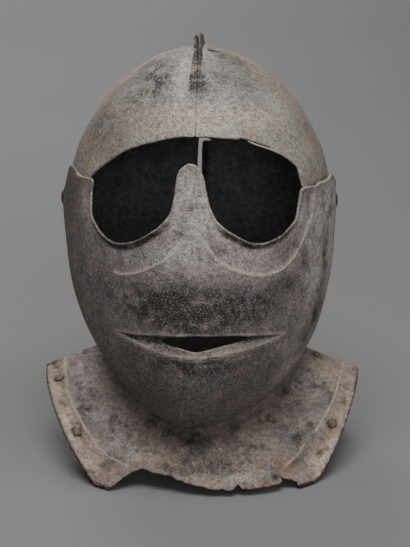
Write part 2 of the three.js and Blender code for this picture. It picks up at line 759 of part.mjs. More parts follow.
const REAR_RIVETS = [
  { name: 'nape_rivet_left', turn: 222, row: 0.25, head: SMALL_RIVET_HEAD },
  { name: 'nape_rivet_right', turn: 138, row: 0.25, head: SMALL_RIVET_HEAD },
];

function rearSeats() {
  const thickness = SKULL_WALL + COLLAR_WALL + 2 * FIT_GAP;
  return REAR_RIVETS.map((row) => seatOn(rearPoint, row, thickness));
}

// Materials and assembly

const STEEL = { metalness: 0.85 };
const MATERIALS = {
  skull: new THREE.MeshStandardMaterial({ ...STEEL, color: 0x8c8481, roughness: 0.62 }),
  face: new THREE.MeshStandardMaterial({ ...STEEL, color: 0x6f6762, roughness: 0.6 }),
  collar: new THREE.MeshStandardMaterial({ ...STEEL, color: 0x7d7069, roughness: 0.7 }),
  rivet: new THREE.MeshStandardMaterial({ ...STEEL, color: 0x5f4c3c, roughness: 0.65 }),
};

const helmet = new THREE.Group();

function place(name, geometry, material) {
  geometry.computeVertexNormals();
  const mesh = new THREE.Mesh(geometry, material.clone());
  mesh.name = name;
  helmet.add(mesh);
}

place('skull_left', toGeometry(skullSolid(-1)), MATERIALS.skull);
place('skull_right', toGeometry(skullSolid(1)), MATERIALS.skull);
place('face_plate', toGeometry(faceSolid()), MATERIALS.face);
place('gorget_front', toGeometry(collarFrontSolid()), MATERIALS.collar);
place('gorget_rear', toGeometry(collarRearSolid()), MATERIALS.collar);

for (const [name, side] of [['pivot_left', -1], ['pivot_right', 1]]) {
  const seat = pivotPlace(side);
  seat.x += side * FIT_GAP;
  const grip = FACE_WALL + TEMPLE_GAP + SKULL_WALL + PIVOT_SLACK;
  const sizes = { head: PIVOT_HEAD, dome: PIVOT_DOME, shank: PIVOT_RADIUS, grip };
  place(name, rivetAt(seat, new THREE.Vector3(side, 0, 0), sizes), MATERIALS.rivet);
}
for (const seat of [...borderRivets(), ...collarSeats(), ...rearSeats()]) {
  const { head, grip } = seat;
  const sizes = { head, dome: head * DOME_SHARE, shank: RIVET_RADIUS, grip };
  place(seat.name, rivetAt(seat.place, seat.axis, sizes), MATERIALS.rivet);
}

// The origin is at the floor, under the middle of the helmet's box
const box = new THREE.Box3().setFromObject(helmet);
helmet.position.set(-(box.min.x + box.max.x) / 2, -(box.min.y + box.max.y) / 2, -box.min.z);

export default helmet;
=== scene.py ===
# %% [markdown]
# # A closed helmet with a mask visor, in beaten iron
# The helmet is a skull of two halves, a one-piece mask that turns on two temple rivets, and
# two collar plates with turned rims. Every plate is thin sheet iron, so each piece here is
# made the same way: a surface is drawn by a formula, cut to its outline, beaten into relief
# and then given its thickness. The CAD frame says where every piece sits.

# %% Load the frame
import itertools
import math

import bmesh
import bpy
import numpy as np
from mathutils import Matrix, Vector


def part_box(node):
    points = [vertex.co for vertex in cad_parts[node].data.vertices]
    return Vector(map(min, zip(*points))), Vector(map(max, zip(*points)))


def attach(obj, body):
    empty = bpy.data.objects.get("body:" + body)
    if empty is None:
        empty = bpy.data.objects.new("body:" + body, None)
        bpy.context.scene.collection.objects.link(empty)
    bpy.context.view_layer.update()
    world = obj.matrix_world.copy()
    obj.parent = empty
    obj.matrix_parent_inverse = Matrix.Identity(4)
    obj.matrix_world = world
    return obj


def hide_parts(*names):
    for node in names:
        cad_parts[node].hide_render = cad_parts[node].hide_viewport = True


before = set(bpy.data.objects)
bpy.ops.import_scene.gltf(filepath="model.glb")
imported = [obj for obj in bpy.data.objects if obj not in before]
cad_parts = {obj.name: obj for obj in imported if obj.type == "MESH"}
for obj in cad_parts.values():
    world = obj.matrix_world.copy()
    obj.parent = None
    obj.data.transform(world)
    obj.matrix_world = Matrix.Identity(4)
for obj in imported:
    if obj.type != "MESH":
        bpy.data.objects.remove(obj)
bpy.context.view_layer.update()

# %% [markdown]
# ## Sizes
# A maker works from a few measures: the head inside, the standoff of the mask, the width of
# the collar. The same named sizes drive every formula below, in metres.

# %% Driving sizes
TEMPLE_HEIGHT = 0.190
SKULL_RISE = 0.112
SKULL_HALF_WIDTH = 0.0975
SKULL_FRONT = 0.100
SKULL_BACK = 0.120
SKULL_DROP = TEMPLE_HEIGHT * 0.79
SKULL_WALL = 0.0018
SKULL_TIP = 0.05
SKULL_TAPER = 0.36
TEMPLE_SWELL = 0.04
FACE_WALL = 0.002
COLLAR_WALL = 0.0017
TEMPLE_GAP = 0.002
FACE_HALF_WIDTH = SKULL_HALF_WIDTH + TEMPLE_GAP + FACE_WALL
FACE_REACH = SKULL_FRONT + 0.028
FACE_BACK = SKULL_FRONT * 0.9
CHIN_HEIGHT = 0.040
COLLAR_SPREAD = 0.051
COLLAR_THROW = 0.036
COLLAR_LIFT = 0.055
COLLAR_OVERLAP = 0.014
RIM_RADIUS = 0.003
FIT_GAP = 0.00035
SEAM_GAP = 0.0003
CRACK_WIDTH = 0.0028
COMB_HEIGHT = 0.009
COMB_WALL = 0.0019
COMB_STEP = 0.0016
PIVOT_HEAD = 0.0052
PIVOT_DOME = 0.001
PIVOT_SLACK = 0.0026
PIVOT_BACK = 0.008
RIVET_HEAD = 0.0035
SMALL_RIVET_HEAD = 0.0025
MM = 0.001
print("mask half width", FACE_HALF_WIDTH, "reach", FACE_REACH)

# %% Where the frame has put the helmet
pivot_corners = np.array([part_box("pivot_left"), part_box("pivot_right")])
SHIFT = pivot_corners.mean(axis=(0, 1)) - np.array([0.0, -PIVOT_BACK, TEMPLE_HEIGHT])
print("the frame's shift", SHIFT)

# %% [markdown]
# ## Tables
# Each curve is a short table: one row for each section or landmark, with named columns. A
# smooth spline runs between the rows, so a table stays short and the surface stays fair.


# %% Tables and splines
def table(columns, *rows):
    """Named columns of numbers."""
    return {name: np.array([row[k] for row in rows], float) for k, name in enumerate(columns.split())}


def between(values, at):
    """Smooth values between the rows of a column, carried on straight past its ends."""
    last = len(values) - 1
    i = np.clip(np.floor(at).astype(int), 0, last - 1)
    f = at - i
    padded = np.concatenate([[2 * values[0] - values[1]], values, [2 * values[-1] - values[-2]]])
    p0, p1, p2, p3 = (padded[i + k] for k in range(4))
    bend = 2 * p0 - 5 * p1 + 4 * p2 - p3
    twist = -p0 + 3 * p1 - 3 * p2 + p3
    smooth = 0.5 * (2 * p1 + (p2 - p0) * f + bend * f**2 + twist * f**3)
    return np.where((f < 0) | (f > 1), p1 + (p2 - p1) * f, smooth)


def traced(rows, steps):
    """The rows of a two-column table as a fine line, with the given steps between rows."""
    first, second = rows.values()
    at = np.linspace(0, len(first) - 1, (len(first) - 1) * steps + 1)
    return np.stack([between(first, at), between(second, at)], axis=-1)


def smooth_step(value, low, high):
    t = np.clip((value - low) / (high - low), 0, 1)
    return t * t * (3 - 2 * t)


def plateau(value, start, full, ebb, end):
    """1 between full and ebb, falling smoothly to 0 at start and at end."""
    return smooth_step(value, start, full) * (1 - smooth_step(value, ebb, end))


FACE = table(
    "front side left right reach blunt wrap",
    (1.54, 1.54, 0.955, 0.955, 0.844, 1.8, 96),
    (1.375, 1.375, 0.985, 0.985, 0.871, 1.8, 98),
    (1.09, 1.09, 1.0, 1.0, 0.914, 1.8, 99),
    (0.895, 0.91, 1.0, 1.003, 0.945, 1.85, 98),
    (0.737, 0.78, 0.98, 0.993, 0.98, 1.9, 96),
    (0.589, 0.668, 0.941, 0.963, 1.0, 1.9, 94),
    (0.453, 0.574, 0.872, 0.92, 0.992, 1.75, 92),
    (0.326, 0.505, 0.778, 0.852, 0.93, 1.5, 90),
    (0.242, 0.463, 0.7, 0.758, 0.828, 1.35, 88),
    (0.21, 0.437, 0.64, 0.68, 0.703, 1.3, 87),
)
COLLAR = table(
    "out drop rise blunt",
    (-0.09, 0, 1, 1.3),
    (0, 0, 0, 1.3),
    (0.53, 0.53, 0, 2.0),
    (1, 1, 0, 2.5),
)
FACE_LAST = len(FACE["front"]) - 1
COLLAR_LAST = len(COLLAR["out"]) - 1
print("sections of the mask", FACE_LAST + 1, "and of the collar", COLLAR_LAST + 1)

# %% [markdown]
# ## The surfaces
# Each surface takes two numbers, how far round from the middle of the face and how far down,
# and gives a point in space. The collar's last stretch rolls under, as the smith turned it.

# %% Surfaces of the plates
KEEL_SOFT = 0.03


def section(turn, half, front, back, blunt, z):
    """A level curve round the head; bluntness 2 is an ellipse and less gives a keel."""
    s = np.sin(np.radians(turn))
    soft = np.sqrt(s * s + KEEL_SOFT**2) - KEEL_SOFT
    depth = np.sqrt(np.maximum(1 - (soft / (math.sqrt(1 + KEEL_SOFT**2) - KEEL_SOFT)) ** blunt, 0))
    y = np.where(np.cos(np.radians(turn)) > 0, -front * depth, back * depth)
    return np.stack([half * s, y, z + 0 * s], axis=-1) + SHIFT


def height_of(share):
    """Below 1 a share of the temple height, above 1 of the skull's rise."""
    return np.where(share < 1, share * TEMPLE_HEIGHT, TEMPLE_HEIGHT + (share - 1) * SKULL_RISE)


def face_at(turn, row):
    round_ = 1 - np.maximum(np.cos(np.radians(turn)), 0)
    front = height_of(between(FACE["front"], row))
    z = front + (height_of(between(FACE["side"], row)) - front) * round_
    half = np.where(turn < 0, between(FACE["left"], row), between(FACE["right"], row))
    reach = FACE_REACH * between(FACE["reach"], row)
    return section(turn, FACE_HALF_WIDTH * half, reach, FACE_BACK, between(FACE["blunt"], row), z)


SEAM_WANDER = table(
    "polar offset width",
    (60, 0.0, 0.05),
    (68, -0.3, 0.15),
    (74, -1.5, 0.6),
    (79, -3.3, 1.0),
    (84, -4.2, 1.0),
    (92, -4.6, 1.1),
    (102, -3.2, 0.9),
    (116, -1.0, 0.6),
    (141, 0.4, 0.8),
)


def skull_at(side):
    """The surface of one half; side is -1 or 1."""

    def surface(turn, polar):
        u, v = np.sin(np.radians(polar)), np.cos(np.radians(polar))
        shrink = np.where(v > 0, u * (1 - SKULL_TIP * v * v), 1 - SKULL_TAPER * v * v)
        z = TEMPLE_HEIGHT + np.where(v > 0, SKULL_RISE, SKULL_DROP) * v
        wide = SKULL_HALF_WIDTH * (1 - TEMPLE_SWELL + TEMPLE_SWELL * u**6) * shrink
        deep = np.where(np.cos(np.radians(turn)) > 0, SKULL_FRONT, SKULL_BACK) * shrink
        rear = smooth_step(turn, 158, 178)
        closed = SEAM_GAP / 2 * (1 - smooth_step(turn, 2, 5)) * smooth_step(polar, 26, 34)
        offset = np.interp(polar, SEAM_WANDER["polar"], SEAM_WANDER["offset"]) * MM * rear
        opening = np.interp(polar, SEAM_WANDER["polar"], SEAM_WANDER["width"]) * CRACK_WIDTH / 2 * rear
        x = side * (wide * np.sin(np.radians(turn)) + SEAM_GAP / 2 - closed + opening) + offset
        return np.stack([x, -deep * np.cos(np.radians(turn)), z], axis=-1) + SHIFT

    return surface


RIM_CLIMB = {"left": 0.62, "right": 0.72}
RIM_POWER = {"left": 1.1, "right": 1.4}
ROLL_START = 67.0
ROLL_SWEEP = 267.0
ROLL_RADIUS = 0.92 * RIM_RADIUS


def rolled(surface, turn, row, last):
    """Carries a collar surface on past its rim, round the turned edge."""
    over = np.maximum(row - last, 0)
    rim = surface(turn, np.minimum(row, last))
    out = (rim - SHIFT) * np.array([1, 1, 0])
    out = out / np.linalg.norm(out, axis=-1, keepdims=True)
    up = np.array([0, 0, 1.0])
    start = math.radians(ROLL_START)
    angle = (start - np.radians(ROLL_SWEEP) * over)[..., None]
    centre = rim - ROLL_RADIUS * (out * math.cos(start) + up * math.sin(start))
    on_roll = centre + ROLL_RADIUS * (out * np.cos(angle) + up * np.sin(angle))
    return np.where(over[..., None] > 0, on_roll, rim)


def collar_sheet(turn, row):
    inset = FACE_WALL / 2 + FIT_GAP
    lead = ROLL_RADIUS * math.cos(math.radians(ROLL_START))
    out = between(COLLAR["out"], row)
    left, right = (FACE_HALF_WIDTH * FACE[side][-1] for side in ("left", "right"))
    half = np.where(turn < 0, left, right) - inset + (COLLAR_SPREAD + lead) * out
    reach = FACE_REACH * FACE["reach"][-1] - inset + (COLLAR_THROW + lead) * out
    round_ = 1 - np.maximum(np.cos(np.radians(turn)), 0)
    sine = np.abs(np.sin(np.radians(turn)))
    climb = np.where(turn < 0, RIM_CLIMB["left"], RIM_CLIMB["right"])
    power = np.where(turn < 0, RIM_POWER["left"], RIM_POWER["right"])
    share = np.maximum(0, (sine - climb) / (1 - climb))
    top = CHIN_HEIGHT + (FACE["side"][-1] * TEMPLE_HEIGHT - CHIN_HEIGHT) * round_
    rim = 2 * ROLL_RADIUS + COLLAR_LIFT * share**power
    z = top + (rim - top) * between(COLLAR["drop"], row) + COLLAR_OVERLAP * between(COLLAR["rise"], row)
    return section(turn, half, reach, reach, between(COLLAR["blunt"], row), z)


def collar_at(turn, row):
    return rolled(collar_sheet, turn, row, COLLAR_LAST)


NECK_HEIGHT = TEMPLE_HEIGHT * 0.38
REAR_TOP = TEMPLE_HEIGHT * 0.47
REAR_SPREAD = 0.022
REAR_THROW = 0.026
REAR_LIFT = 0.033
REAR_CLIMB = 0.5
REAR_POWER = 1.3
REAR_CLEARANCE = 0.0004
FLARE_START = 0.2
FLARE_POWER = 1.4
FLARE_GAIN = 1.37


def rear_sheet(turn, row):
    sine = np.abs(np.sin(np.radians(turn)))
    share = np.maximum(0, (sine - REAR_CLIMB) / (1 - REAR_CLIMB))
    rim = 2 * ROLL_RADIUS + REAR_LIFT * share**REAR_POWER
    z = REAR_TOP + (rim - REAR_TOP) * (row / COLLAR_LAST)
    polar = np.degrees(np.arccos((np.maximum(z, NECK_HEIGHT) - TEMPLE_HEIGHT) / SKULL_DROP))
    neck = 1 - SKULL_TAPER * np.cos(np.radians(polar)) ** 2
    swell = 1 - TEMPLE_SWELL + TEMPLE_SWELL * np.sin(np.radians(polar)) ** 6
    flare = FLARE_GAIN * np.maximum(0, row / COLLAR_LAST - FLARE_START) ** FLARE_POWER
    clear = COLLAR_WALL + FIT_GAP + REAR_CLEARANCE
    lead = ROLL_RADIUS * math.cos(math.radians(ROLL_START))
    half = SKULL_HALF_WIDTH * swell * neck + clear + (REAR_SPREAD + lead) * flare
    back = SKULL_BACK * neck + clear + (REAR_THROW + lead) * flare
    return section(turn, half, back, back, 2, z)


def rear_at(turn, row):
    return rolled(rear_sheet, turn, row, COLLAR_LAST)


print("the nose stands at", face_at(np.float64(0), np.float64(4)) - SHIFT)

# %% [markdown]
# ## Measuring on a surface
# Outlines are drawn in turn and row, but a smith measures in millimetres. So each outline is
# laid on the surface and the distance from every knot of the grid to it is taken in space.
# The sign says which side of the outline a knot is on. Wear, lips and cuts all use it.


# %% Distances and random lumps
REACH = 0.016
TINY = 1e-12


def distance_to(points, line):
    """Shortest distance from each point to a line in space, up to REACH."""
    flat = points.reshape(-1, 3)
    low, high = line.min(axis=0) - REACH, line.max(axis=0) + REACH
    near = np.flatnonzero(((flat > low) & (flat < high)).all(axis=1))
    best = np.full(len(near), REACH**2)
    for start, end in zip(line[:-1], line[1:]):
        step = end - start
        rest = flat[near] - start
        share = np.clip(rest @ step / max(step @ step, TINY), 0, 1)
        best = np.minimum(best, ((rest - share[:, None] * step) ** 2).sum(axis=1))
    result = np.full(len(flat), REACH)
    result[near] = np.sqrt(best)
    return result.reshape(points.shape[:-1])


def within(turn, row, outline):
    """Whether each knot lies inside a closed outline."""
    inside = np.zeros(turn.shape, bool)
    for (a0, b0), (a1, b1) in zip(outline, np.roll(outline, -1, axis=0)):
        if b0 == b1:
            continue
        crosses = ((b0 > row) != (b1 > row)) & (turn < a0 + (row - b0) * (a1 - a0) / (b1 - b0))
        inside ^= crosses
    return inside


def refined(line, pieces):
    """A line with each stretch cut into equal pieces."""
    share = np.arange(pieces)[:, None] / pieces
    parts = [start + (end - start) * share for start, end in zip(line[:-1], line[1:])]
    return np.concatenate(parts + [line[-1:]])


def depth_inside(surface, turn, row, points, outline, pieces=1):
    """Distance from each knot to a closed outline, above zero inside it."""
    loop = refined(np.concatenate([outline, outline[:1]]), pieces)
    away = distance_to(points, surface(loop[:, 0], loop[:, 1]))
    return np.where(within(turn, row, outline), away, -away)


def lumps(points, size, seed):
    """Smooth random hills and hollows, from -1 to 1, about one size apart."""
    cells = 32
    heights = np.random.default_rng(int(seed)).random((cells, cells, cells))
    place = points / size
    base = np.floor(place).astype(int)
    f = place - base
    f = f * f * (3 - 2 * f)
    total = 0
    for corner in itertools.product((0, 1), repeat=3):
        weight = np.prod(np.where(corner, f, 1 - f), axis=-1)
        i, j, k = np.moveaxis((base + corner) % cells, -1, 0)
        total = total + weight * heights[i, j, k]
    return 2 * total - 1


def uneven(points, waves):
    """Hills and hollows from a table of heights and sizes in millimetres."""
    total = np.zeros(points.shape[:-1])
    for height, size, seed, sunk in zip(*waves.values()):
        total += height * MM * (lumps(points, size * MM, seed) - sunk)
    return total


def spots(turn, row, rows):
    """Soft spots from a table of places, sizes and strengths."""
    total = np.zeros(turn.shape)
    for t, r, wide, tall, amount in zip(*rows.values()):
        total += amount * np.exp(-(((turn - t) / wide) ** 2) - ((row - r) / tall) ** 2)
    return total


print("distances are measured up to", REACH, "m")

# %% [markdown]
# ## From a surface to a plate of iron
# The grid is cut along its outline with marching squares: a cell that the edge crosses keeps
# only its inner part. The sheet then gets a back at wall thickness and a rounded, worn edge
# between front and back, so every piece is a closed solid that can be exported.


# %% Build a plate
EDGE_BULGE = 0.55
EDGE_RINGS = 3
SLIVER = 0.12
FINE_STEPS = 1500
WELD_DISTANCE = 2e-6


def even_steps(surface, fixed, low, high, step, along):
    """Values of one coordinate that lie about one step apart on the surface."""
    fine = np.linspace(low, high, FINE_STEPS)
    held = np.full_like(fine, fixed)
    line = surface(fine, held) if along == "turn" else surface(held, fine)
    length = np.concatenate([[0], np.cumsum(np.linalg.norm(np.diff(line, axis=0), axis=1))])
    return np.interp(np.linspace(0, length[-1], int(length[-1] / step) + 1), length, fine)


def grid_normals(points):
    across = np.gradient(points, axis=0)
    down = np.gradient(points, axis=1)
    normal = np.cross(across, down)
    size = np.linalg.norm(normal, axis=-1, keepdims=True)
    return np.where(size > TINY, normal / np.maximum(size, TINY), [0, 0, 1.0])


def cut_grid(kept):
    """Knots, faces and edge pairs of the part of a grid where kept is above zero."""
    inside = kept > 0
    number = np.full(kept.shape, -1)
    number[inside] = np.arange(inside.sum())
    i, j = np.nonzero(inside)
    knots = [np.stack([i, j, i, j, np.zeros(len(i))], axis=1)]
    corners = [inside[:-1, :-1], inside[1:, :-1], inside[1:, 1:], inside[:-1, 1:]]
    count = sum(c.astype(int) for c in corners)
    i, j = np.nonzero(count == 4)
    whole = [number[i, j], number[i + 1, j], number[i + 1, j + 1], number[i, j + 1]]
    faces = np.stack(whole, axis=1).tolist()
    crossings, pairs, added = {}, [], []
    first_new = int(inside.sum())
    for i, j in zip(*np.nonzero((count > 0) & (count < 4))):
        ring = [(i, j), (i + 1, j), (i + 1, j + 1), (i, j + 1)]
        face, marks = [], []
        for here, there in zip(ring, ring[1:] + ring[:1]):
            if inside[here]:
                face.append(number[here])
            if inside[here] != inside[there]:
                key = (min(here, there), max(here, there))
                if key not in crossings:
                    (i0, j0), (i1, j1) = key
                    share = kept[key[0]] / (kept[key[0]] - kept[key[1]])
                    crossings[key] = first_new + len(added)
                    added.append((i0, j0, i1, j1, share))
                marks.append((len(face), inside[here]))
                face.append(crossings[key])
        faces.append([int(k) for k in face])
        for place, leaving in marks:
            if leaving:
                pairs.append((int(face[place]), int(face[(place + 1) % len(face)])))
    knots.append(np.array(added).reshape(-1, 5))
    return np.concatenate(knots), faces, np.array(pairs)


# %% Give the sheet its thickness
def on_knots(values, knots):
    """Values of the grid at its knots and where an edge crosses it."""
    i0, j0, i1, j1 = knots[:, :4].astype(int).T
    weight = knots[:, 4].reshape((-1,) + (1,) * (values.ndim - 2))
    return values[i0, j0] * (1 - weight) + values[i1, j1] * weight


def outward_at_rim(front, facing, pairs):
    """The knots of the rim, and the way straight out of the sheet at each."""
    outward = np.zeros((len(front), 3))
    along = front[pairs[:, 1]] - front[pairs[:, 0]]
    sideways = np.cross(along, facing[pairs[:, 0]])
    np.add.at(outward, pairs[:, 0], sideways)
    np.add.at(outward, pairs[:, 1], sideways)
    rim = np.unique(pairs)
    size = np.linalg.norm(outward[rim], axis=1, keepdims=True)
    return rim, outward[rim] / np.maximum(size, TINY)


def thickened(front, facing, bulge, wall, faces, pairs):
    """Front, back and rounded edge as points and faces, and the knots of the rim."""
    count = len(front)
    back = front - facing * wall
    rim, outward = outward_at_rim(front, facing, pairs)
    slot = np.full(count, -1)
    slot[rim] = np.arange(len(rim))
    layers, rings = [front, back], [np.arange(count)]
    for k in range(1, EDGE_RINGS + 1):
        angle = math.pi * k / (EDGE_RINGS + 1)
        ring = (front[rim] + back[rim]) / 2 + facing[rim] * (math.cos(angle) * wall / 2)
        layers.append(ring + outward * (math.sin(angle) * bulge[rim, None]))
        rings.append(2 * count + (k - 1) * len(rim) + slot)
    rings.append(np.arange(count) + count)
    every = faces + [[k + count for k in face[::-1]] for face in faces]
    for upper, lower in zip(rings[:-1], rings[1:]):
        for u, v in pairs:
            every.append([int(upper[v]), int(upper[u]), int(lower[u]), int(lower[v])])
    return np.concatenate(layers), every, rim


# %% Make the plate an object
def weld(mesh):
    """Joins knots that share a place, such as those at the crown."""
    body = bmesh.new()
    body.from_mesh(mesh)
    bmesh.ops.remove_doubles(body, verts=body.verts, dist=WELD_DISTANCE)
    body.to_mesh(mesh)
    body.free()


def linked(name, data):
    """A new object in the scene that shows the given mesh, lamp or lens."""
    thing = bpy.data.objects.new(name, data)
    bpy.context.scene.collection.objects.link(thing)
    return thing


def rounded(points):
    """For a plate that has no square edge."""
    return np.zeros(points.shape[:2])


def iron_plate(name, surface, turns, rows, outline, wall, shape, square=rounded):
    """A beaten plate as a mesh object.

    outline(turn, row, points) gives the distance inside the kept part,
    shape(turn, row, points, kept) gives the relief and the named masks, and
    square(points) is 1 where the edge is left square instead of rounded.
    """
    turn, row = np.meshgrid(turns, rows, indexing="ij")
    points = surface(turn, row)
    kept = outline(turn, row, points)
    relief, masks = shape(turn, row, points, kept)
    normal = grid_normals(points)
    middle = SHIFT + np.array([0, 0, TEMPLE_HEIGHT * 0.6])
    flipped = (normal * (points - middle)).sum() < 0
    if flipped:
        normal = -normal
    bulge = EDGE_BULGE * wall * (1 - square(points))
    kept = kept - bulge
    least = SLIVER * np.linalg.norm(np.diff(points, axis=0), axis=-1).mean()
    kept = np.where(np.abs(kept) < least, np.where(kept > 0, least, -least), kept)
    knots, faces, pairs = cut_grid(kept)
    if flipped:
        faces = [face[::-1] for face in faces]
        pairs = pairs[:, ::-1]
    front = on_knots(points + normal * relief[..., None], knots)
    facing, swell = on_knots(normal, knots), on_knots(bulge, knots)
    places, every, rim = thickened(front, facing, swell, wall, faces, pairs)
    mesh = bpy.data.meshes.new(name)
    mesh.from_pydata(places, [], every)
    mesh.polygons.foreach_set("use_smooth", [True] * len(every))
    edge_count = len(every) - 2 * len(faces)
    slots = [0] * len(faces) + [1] * len(faces) + [0] * edge_count
    mesh.polygons.foreach_set("material_index", slots)
    for mask, values in masks.items():
        flat = on_knots(values, knots)
        flat = np.concatenate([flat, flat] + [flat[rim]] * EDGE_RINGS)
        layer = mesh.attributes.new(mask, "FLOAT", "POINT")
        layer.data.foreach_set("value", flat.astype(np.float32))
    weld(mesh)
    print(name, "has", len(mesh.polygons), "faces")
    return linked(name, mesh)


# %% [markdown]
# ## The look of old iron
# Three effects come back on every plate: a sandy, pitted grain left by rust, wide patches of
# another tone, and bare metal along the edges. Each is a node group, so the skull, the mask
# and the collar share the same iron with their own values.


# %% Node helpers
def group(name, inputs, outputs):
    tree = bpy.data.node_groups.new(name, "ShaderNodeTree")
    for label, kind, value in inputs:
        socket = tree.interface.new_socket(name=label, in_out="INPUT", socket_type=kind)
        if kind == "NodeSocketFloat":
            socket.default_value = value
    for label, kind in outputs:
        tree.interface.new_socket(name=label, in_out="OUTPUT", socket_type=kind)
    return tree, tree.nodes.new("NodeGroupInput"), tree.nodes.new("NodeGroupOutput")


def add_node(tree, kind, settings=None, **inputs):
    """A node with its settings, and its inputs joined to sockets or set to values."""
    node = tree.nodes.new(kind)
    for label, value in (settings or {}).items():
        setattr(node, label, value)
    for label, value in inputs.items():
        socket = node.inputs[int(label[2:])] if label.startswith("at") else node.inputs[label]
        if isinstance(value, bpy.types.NodeSocket):
            tree.links.new(value, socket)
        else:
            socket.default_value = value
    return node


def math_node(tree, operation, first, second=0.0, clamp=False):
    settings = {"operation": operation, "use_clamp": clamp}
    return add_node(tree, "ShaderNodeMath", settings, at0=first, at1=second).outputs[0]


def ramp(tree, value, low, high):
    """A soft mask: 0 below low and 1 above high."""
    node = add_node(tree, "ShaderNodeMapRange", {"interpolation_type": "SMOOTHSTEP"}, Value=value)
    for label, number in (("From Min", low), ("From Max", high)):
        if isinstance(number, bpy.types.NodeSocket):
            tree.links.new(number, node.inputs[label])
        else:
            node.inputs[label].default_value = number
    return node.outputs["Result"]


def blend(tree, amount, first, second, mode="MIX"):
    node = tree.nodes.new("ShaderNodeMix")
    node.data_type = "RGBA"
    node.blend_type = mode
    node.clamp_factor = True
    for socket, value in ((node.inputs[0], amount), (node.inputs[6], first), (node.inputs[7], second)):
        if isinstance(value, bpy.types.NodeSocket):
            tree.links.new(value, socket)
        else:
            socket.default_value = value
    return node.outputs[2]


def noise(tree, place, scale, detail, roughness=0.5, distortion=0.0):
    return add_node(tree, "ShaderNodeTexNoise", Vector=place, Scale=scale, Detail=detail,
                    Roughness=roughness, Distortion=distortion).outputs["Fac"]


# %% [markdown]
# The grain is two noises and a scatter of round pits. It hands out a height for the bump and
# three masks for the colour. The patches are one wide noise, and the wear is the distance to
# the edge, broken up by a noise so that bare metal comes and goes.

# %% Grain, patches and wear
VECTOR, FLOAT = "NodeSocketVector", "NodeSocketFloat"

grain_group, source, sink = group(
    "rust_grain",
    [("Place", VECTOR, None), ("Fineness", FLOAT, 900.0), ("Pitting", FLOAT, 0.5)],
    [("Height", FLOAT), ("Tone", FLOAT), ("Pit", FLOAT), ("Spark", FLOAT)],
)
place, fineness, pitting = (source.outputs[k] for k in ("Place", "Fineness", "Pitting"))
sand = noise(grain_group, place, fineness, 4.0, 0.65)
coarse = noise(grain_group, place, math_node(grain_group, "MULTIPLY", fineness, 0.32), 3.0, 0.6)
pit_scale = math_node(grain_group, "MULTIPLY", fineness, 0.45)
cells = add_node(grain_group, "ShaderNodeTexVoronoi", Vector=place, Scale=pit_scale, Randomness=1.0)
hollow = ramp(grain_group, cells.outputs["Distance"], 0.08, 0.42)
hollow = math_node(grain_group, "SUBTRACT", 1.0, hollow)
pit = math_node(grain_group, "MULTIPLY", hollow, ramp(grain_group, coarse, 0.48, 0.62))
pit = math_node(grain_group, "MULTIPLY", pit, pitting)
rise = math_node(grain_group, "ADD", sand, math_node(grain_group, "MULTIPLY", coarse, 0.8))
mottle = math_node(grain_group, "MULTIPLY", sand, 0.6)
mottle = math_node(grain_group, "ADD", mottle, math_node(grain_group, "MULTIPLY", coarse, 0.4))
glitter = noise(grain_group, place, math_node(grain_group, "MULTIPLY", fineness, 1.35), 1.0)
grain_outputs = {
    "Height": math_node(grain_group, "SUBTRACT", rise, pit),
    "Tone": ramp(grain_group, mottle, 0.4, 0.6),
    "Pit": pit,
    "Spark": ramp(grain_group, glitter, 0.58, 0.68),
}
for label, socket in grain_outputs.items():
    grain_group.links.new(socket, sink.inputs[label])

patch_group, source, sink = group(
    "tone_patches",
    [("Place", VECTOR, None), ("Size", FLOAT, 60.0), ("Low", FLOAT, 0.45), ("High", FLOAT, 0.6)],
    [("Mask", FLOAT)],
)
cloud = noise(patch_group, source.outputs["Place"], source.outputs["Size"], 6.0, 0.62, 0.6)
patch_mask = ramp(patch_group, cloud, source.outputs["Low"], source.outputs["High"])
patch_group.links.new(patch_mask, sink.inputs["Mask"])

wear_group, source, sink = group(
    "worn_edge",
    [("Place", VECTOR, None), ("Edge", FLOAT, 0.01), ("Width", FLOAT, 0.001)],
    [("Mask", FLOAT)],
)
breakup = noise(wear_group, source.outputs["Place"], 330.0, 4.0, 0.6)
ragged = math_node(wear_group, "SUBTRACT", breakup, 0.35)
ragged = math_node(wear_group, "MULTIPLY", ragged, 3.0)
reach = math_node(wear_group, "MULTIPLY", source.outputs["Width"], ragged)
reach = math_node(wear_group, "SUBTRACT", reach, source.outputs["Edge"])
closeness = math_node(wear_group, "DIVIDE", reach, source.outputs["Width"])
wear_mask = math_node(wear_group, "MULTIPLY", closeness, 1.4, clamp=True)
wear_group.links.new(wear_mask, sink.inputs["Mask"])
print("node groups", [tree.name for tree in bpy.data.node_groups])

# %% [markdown]
# ## The iron itself
# The iron is rough and has lost its polish: mostly dull, with a faint sheen, and a colour that
# goes from grey-brown on the skull to a darker brown on the mask and tan along the collar's
# rims. Stains and painted shade, painted highlights and glints, cold spots and rust come from
# the masks that each plate carries.


# %% Iron materials
def named_mask(tree, label):
    return add_node(tree, "ShaderNodeAttribute", {"attribute_name": label}).outputs["Fac"]


def grouped(tree, source_group, **inputs):
    node = tree.nodes.new("ShaderNodeGroup")
    node.node_tree = source_group
    for label, value in inputs.items():
        if isinstance(value, bpy.types.NodeSocket):
            tree.links.new(value, node.inputs[label])
        else:
            node.inputs[label].default_value = value
    return node


def patches(tree, place, size, low, high):
    """Wide patches: size is how many fit in a metre, low and high how sharp they are."""
    return grouped(tree, patch_group, Place=place, Size=size, Low=low, High=high).outputs["Mask"]
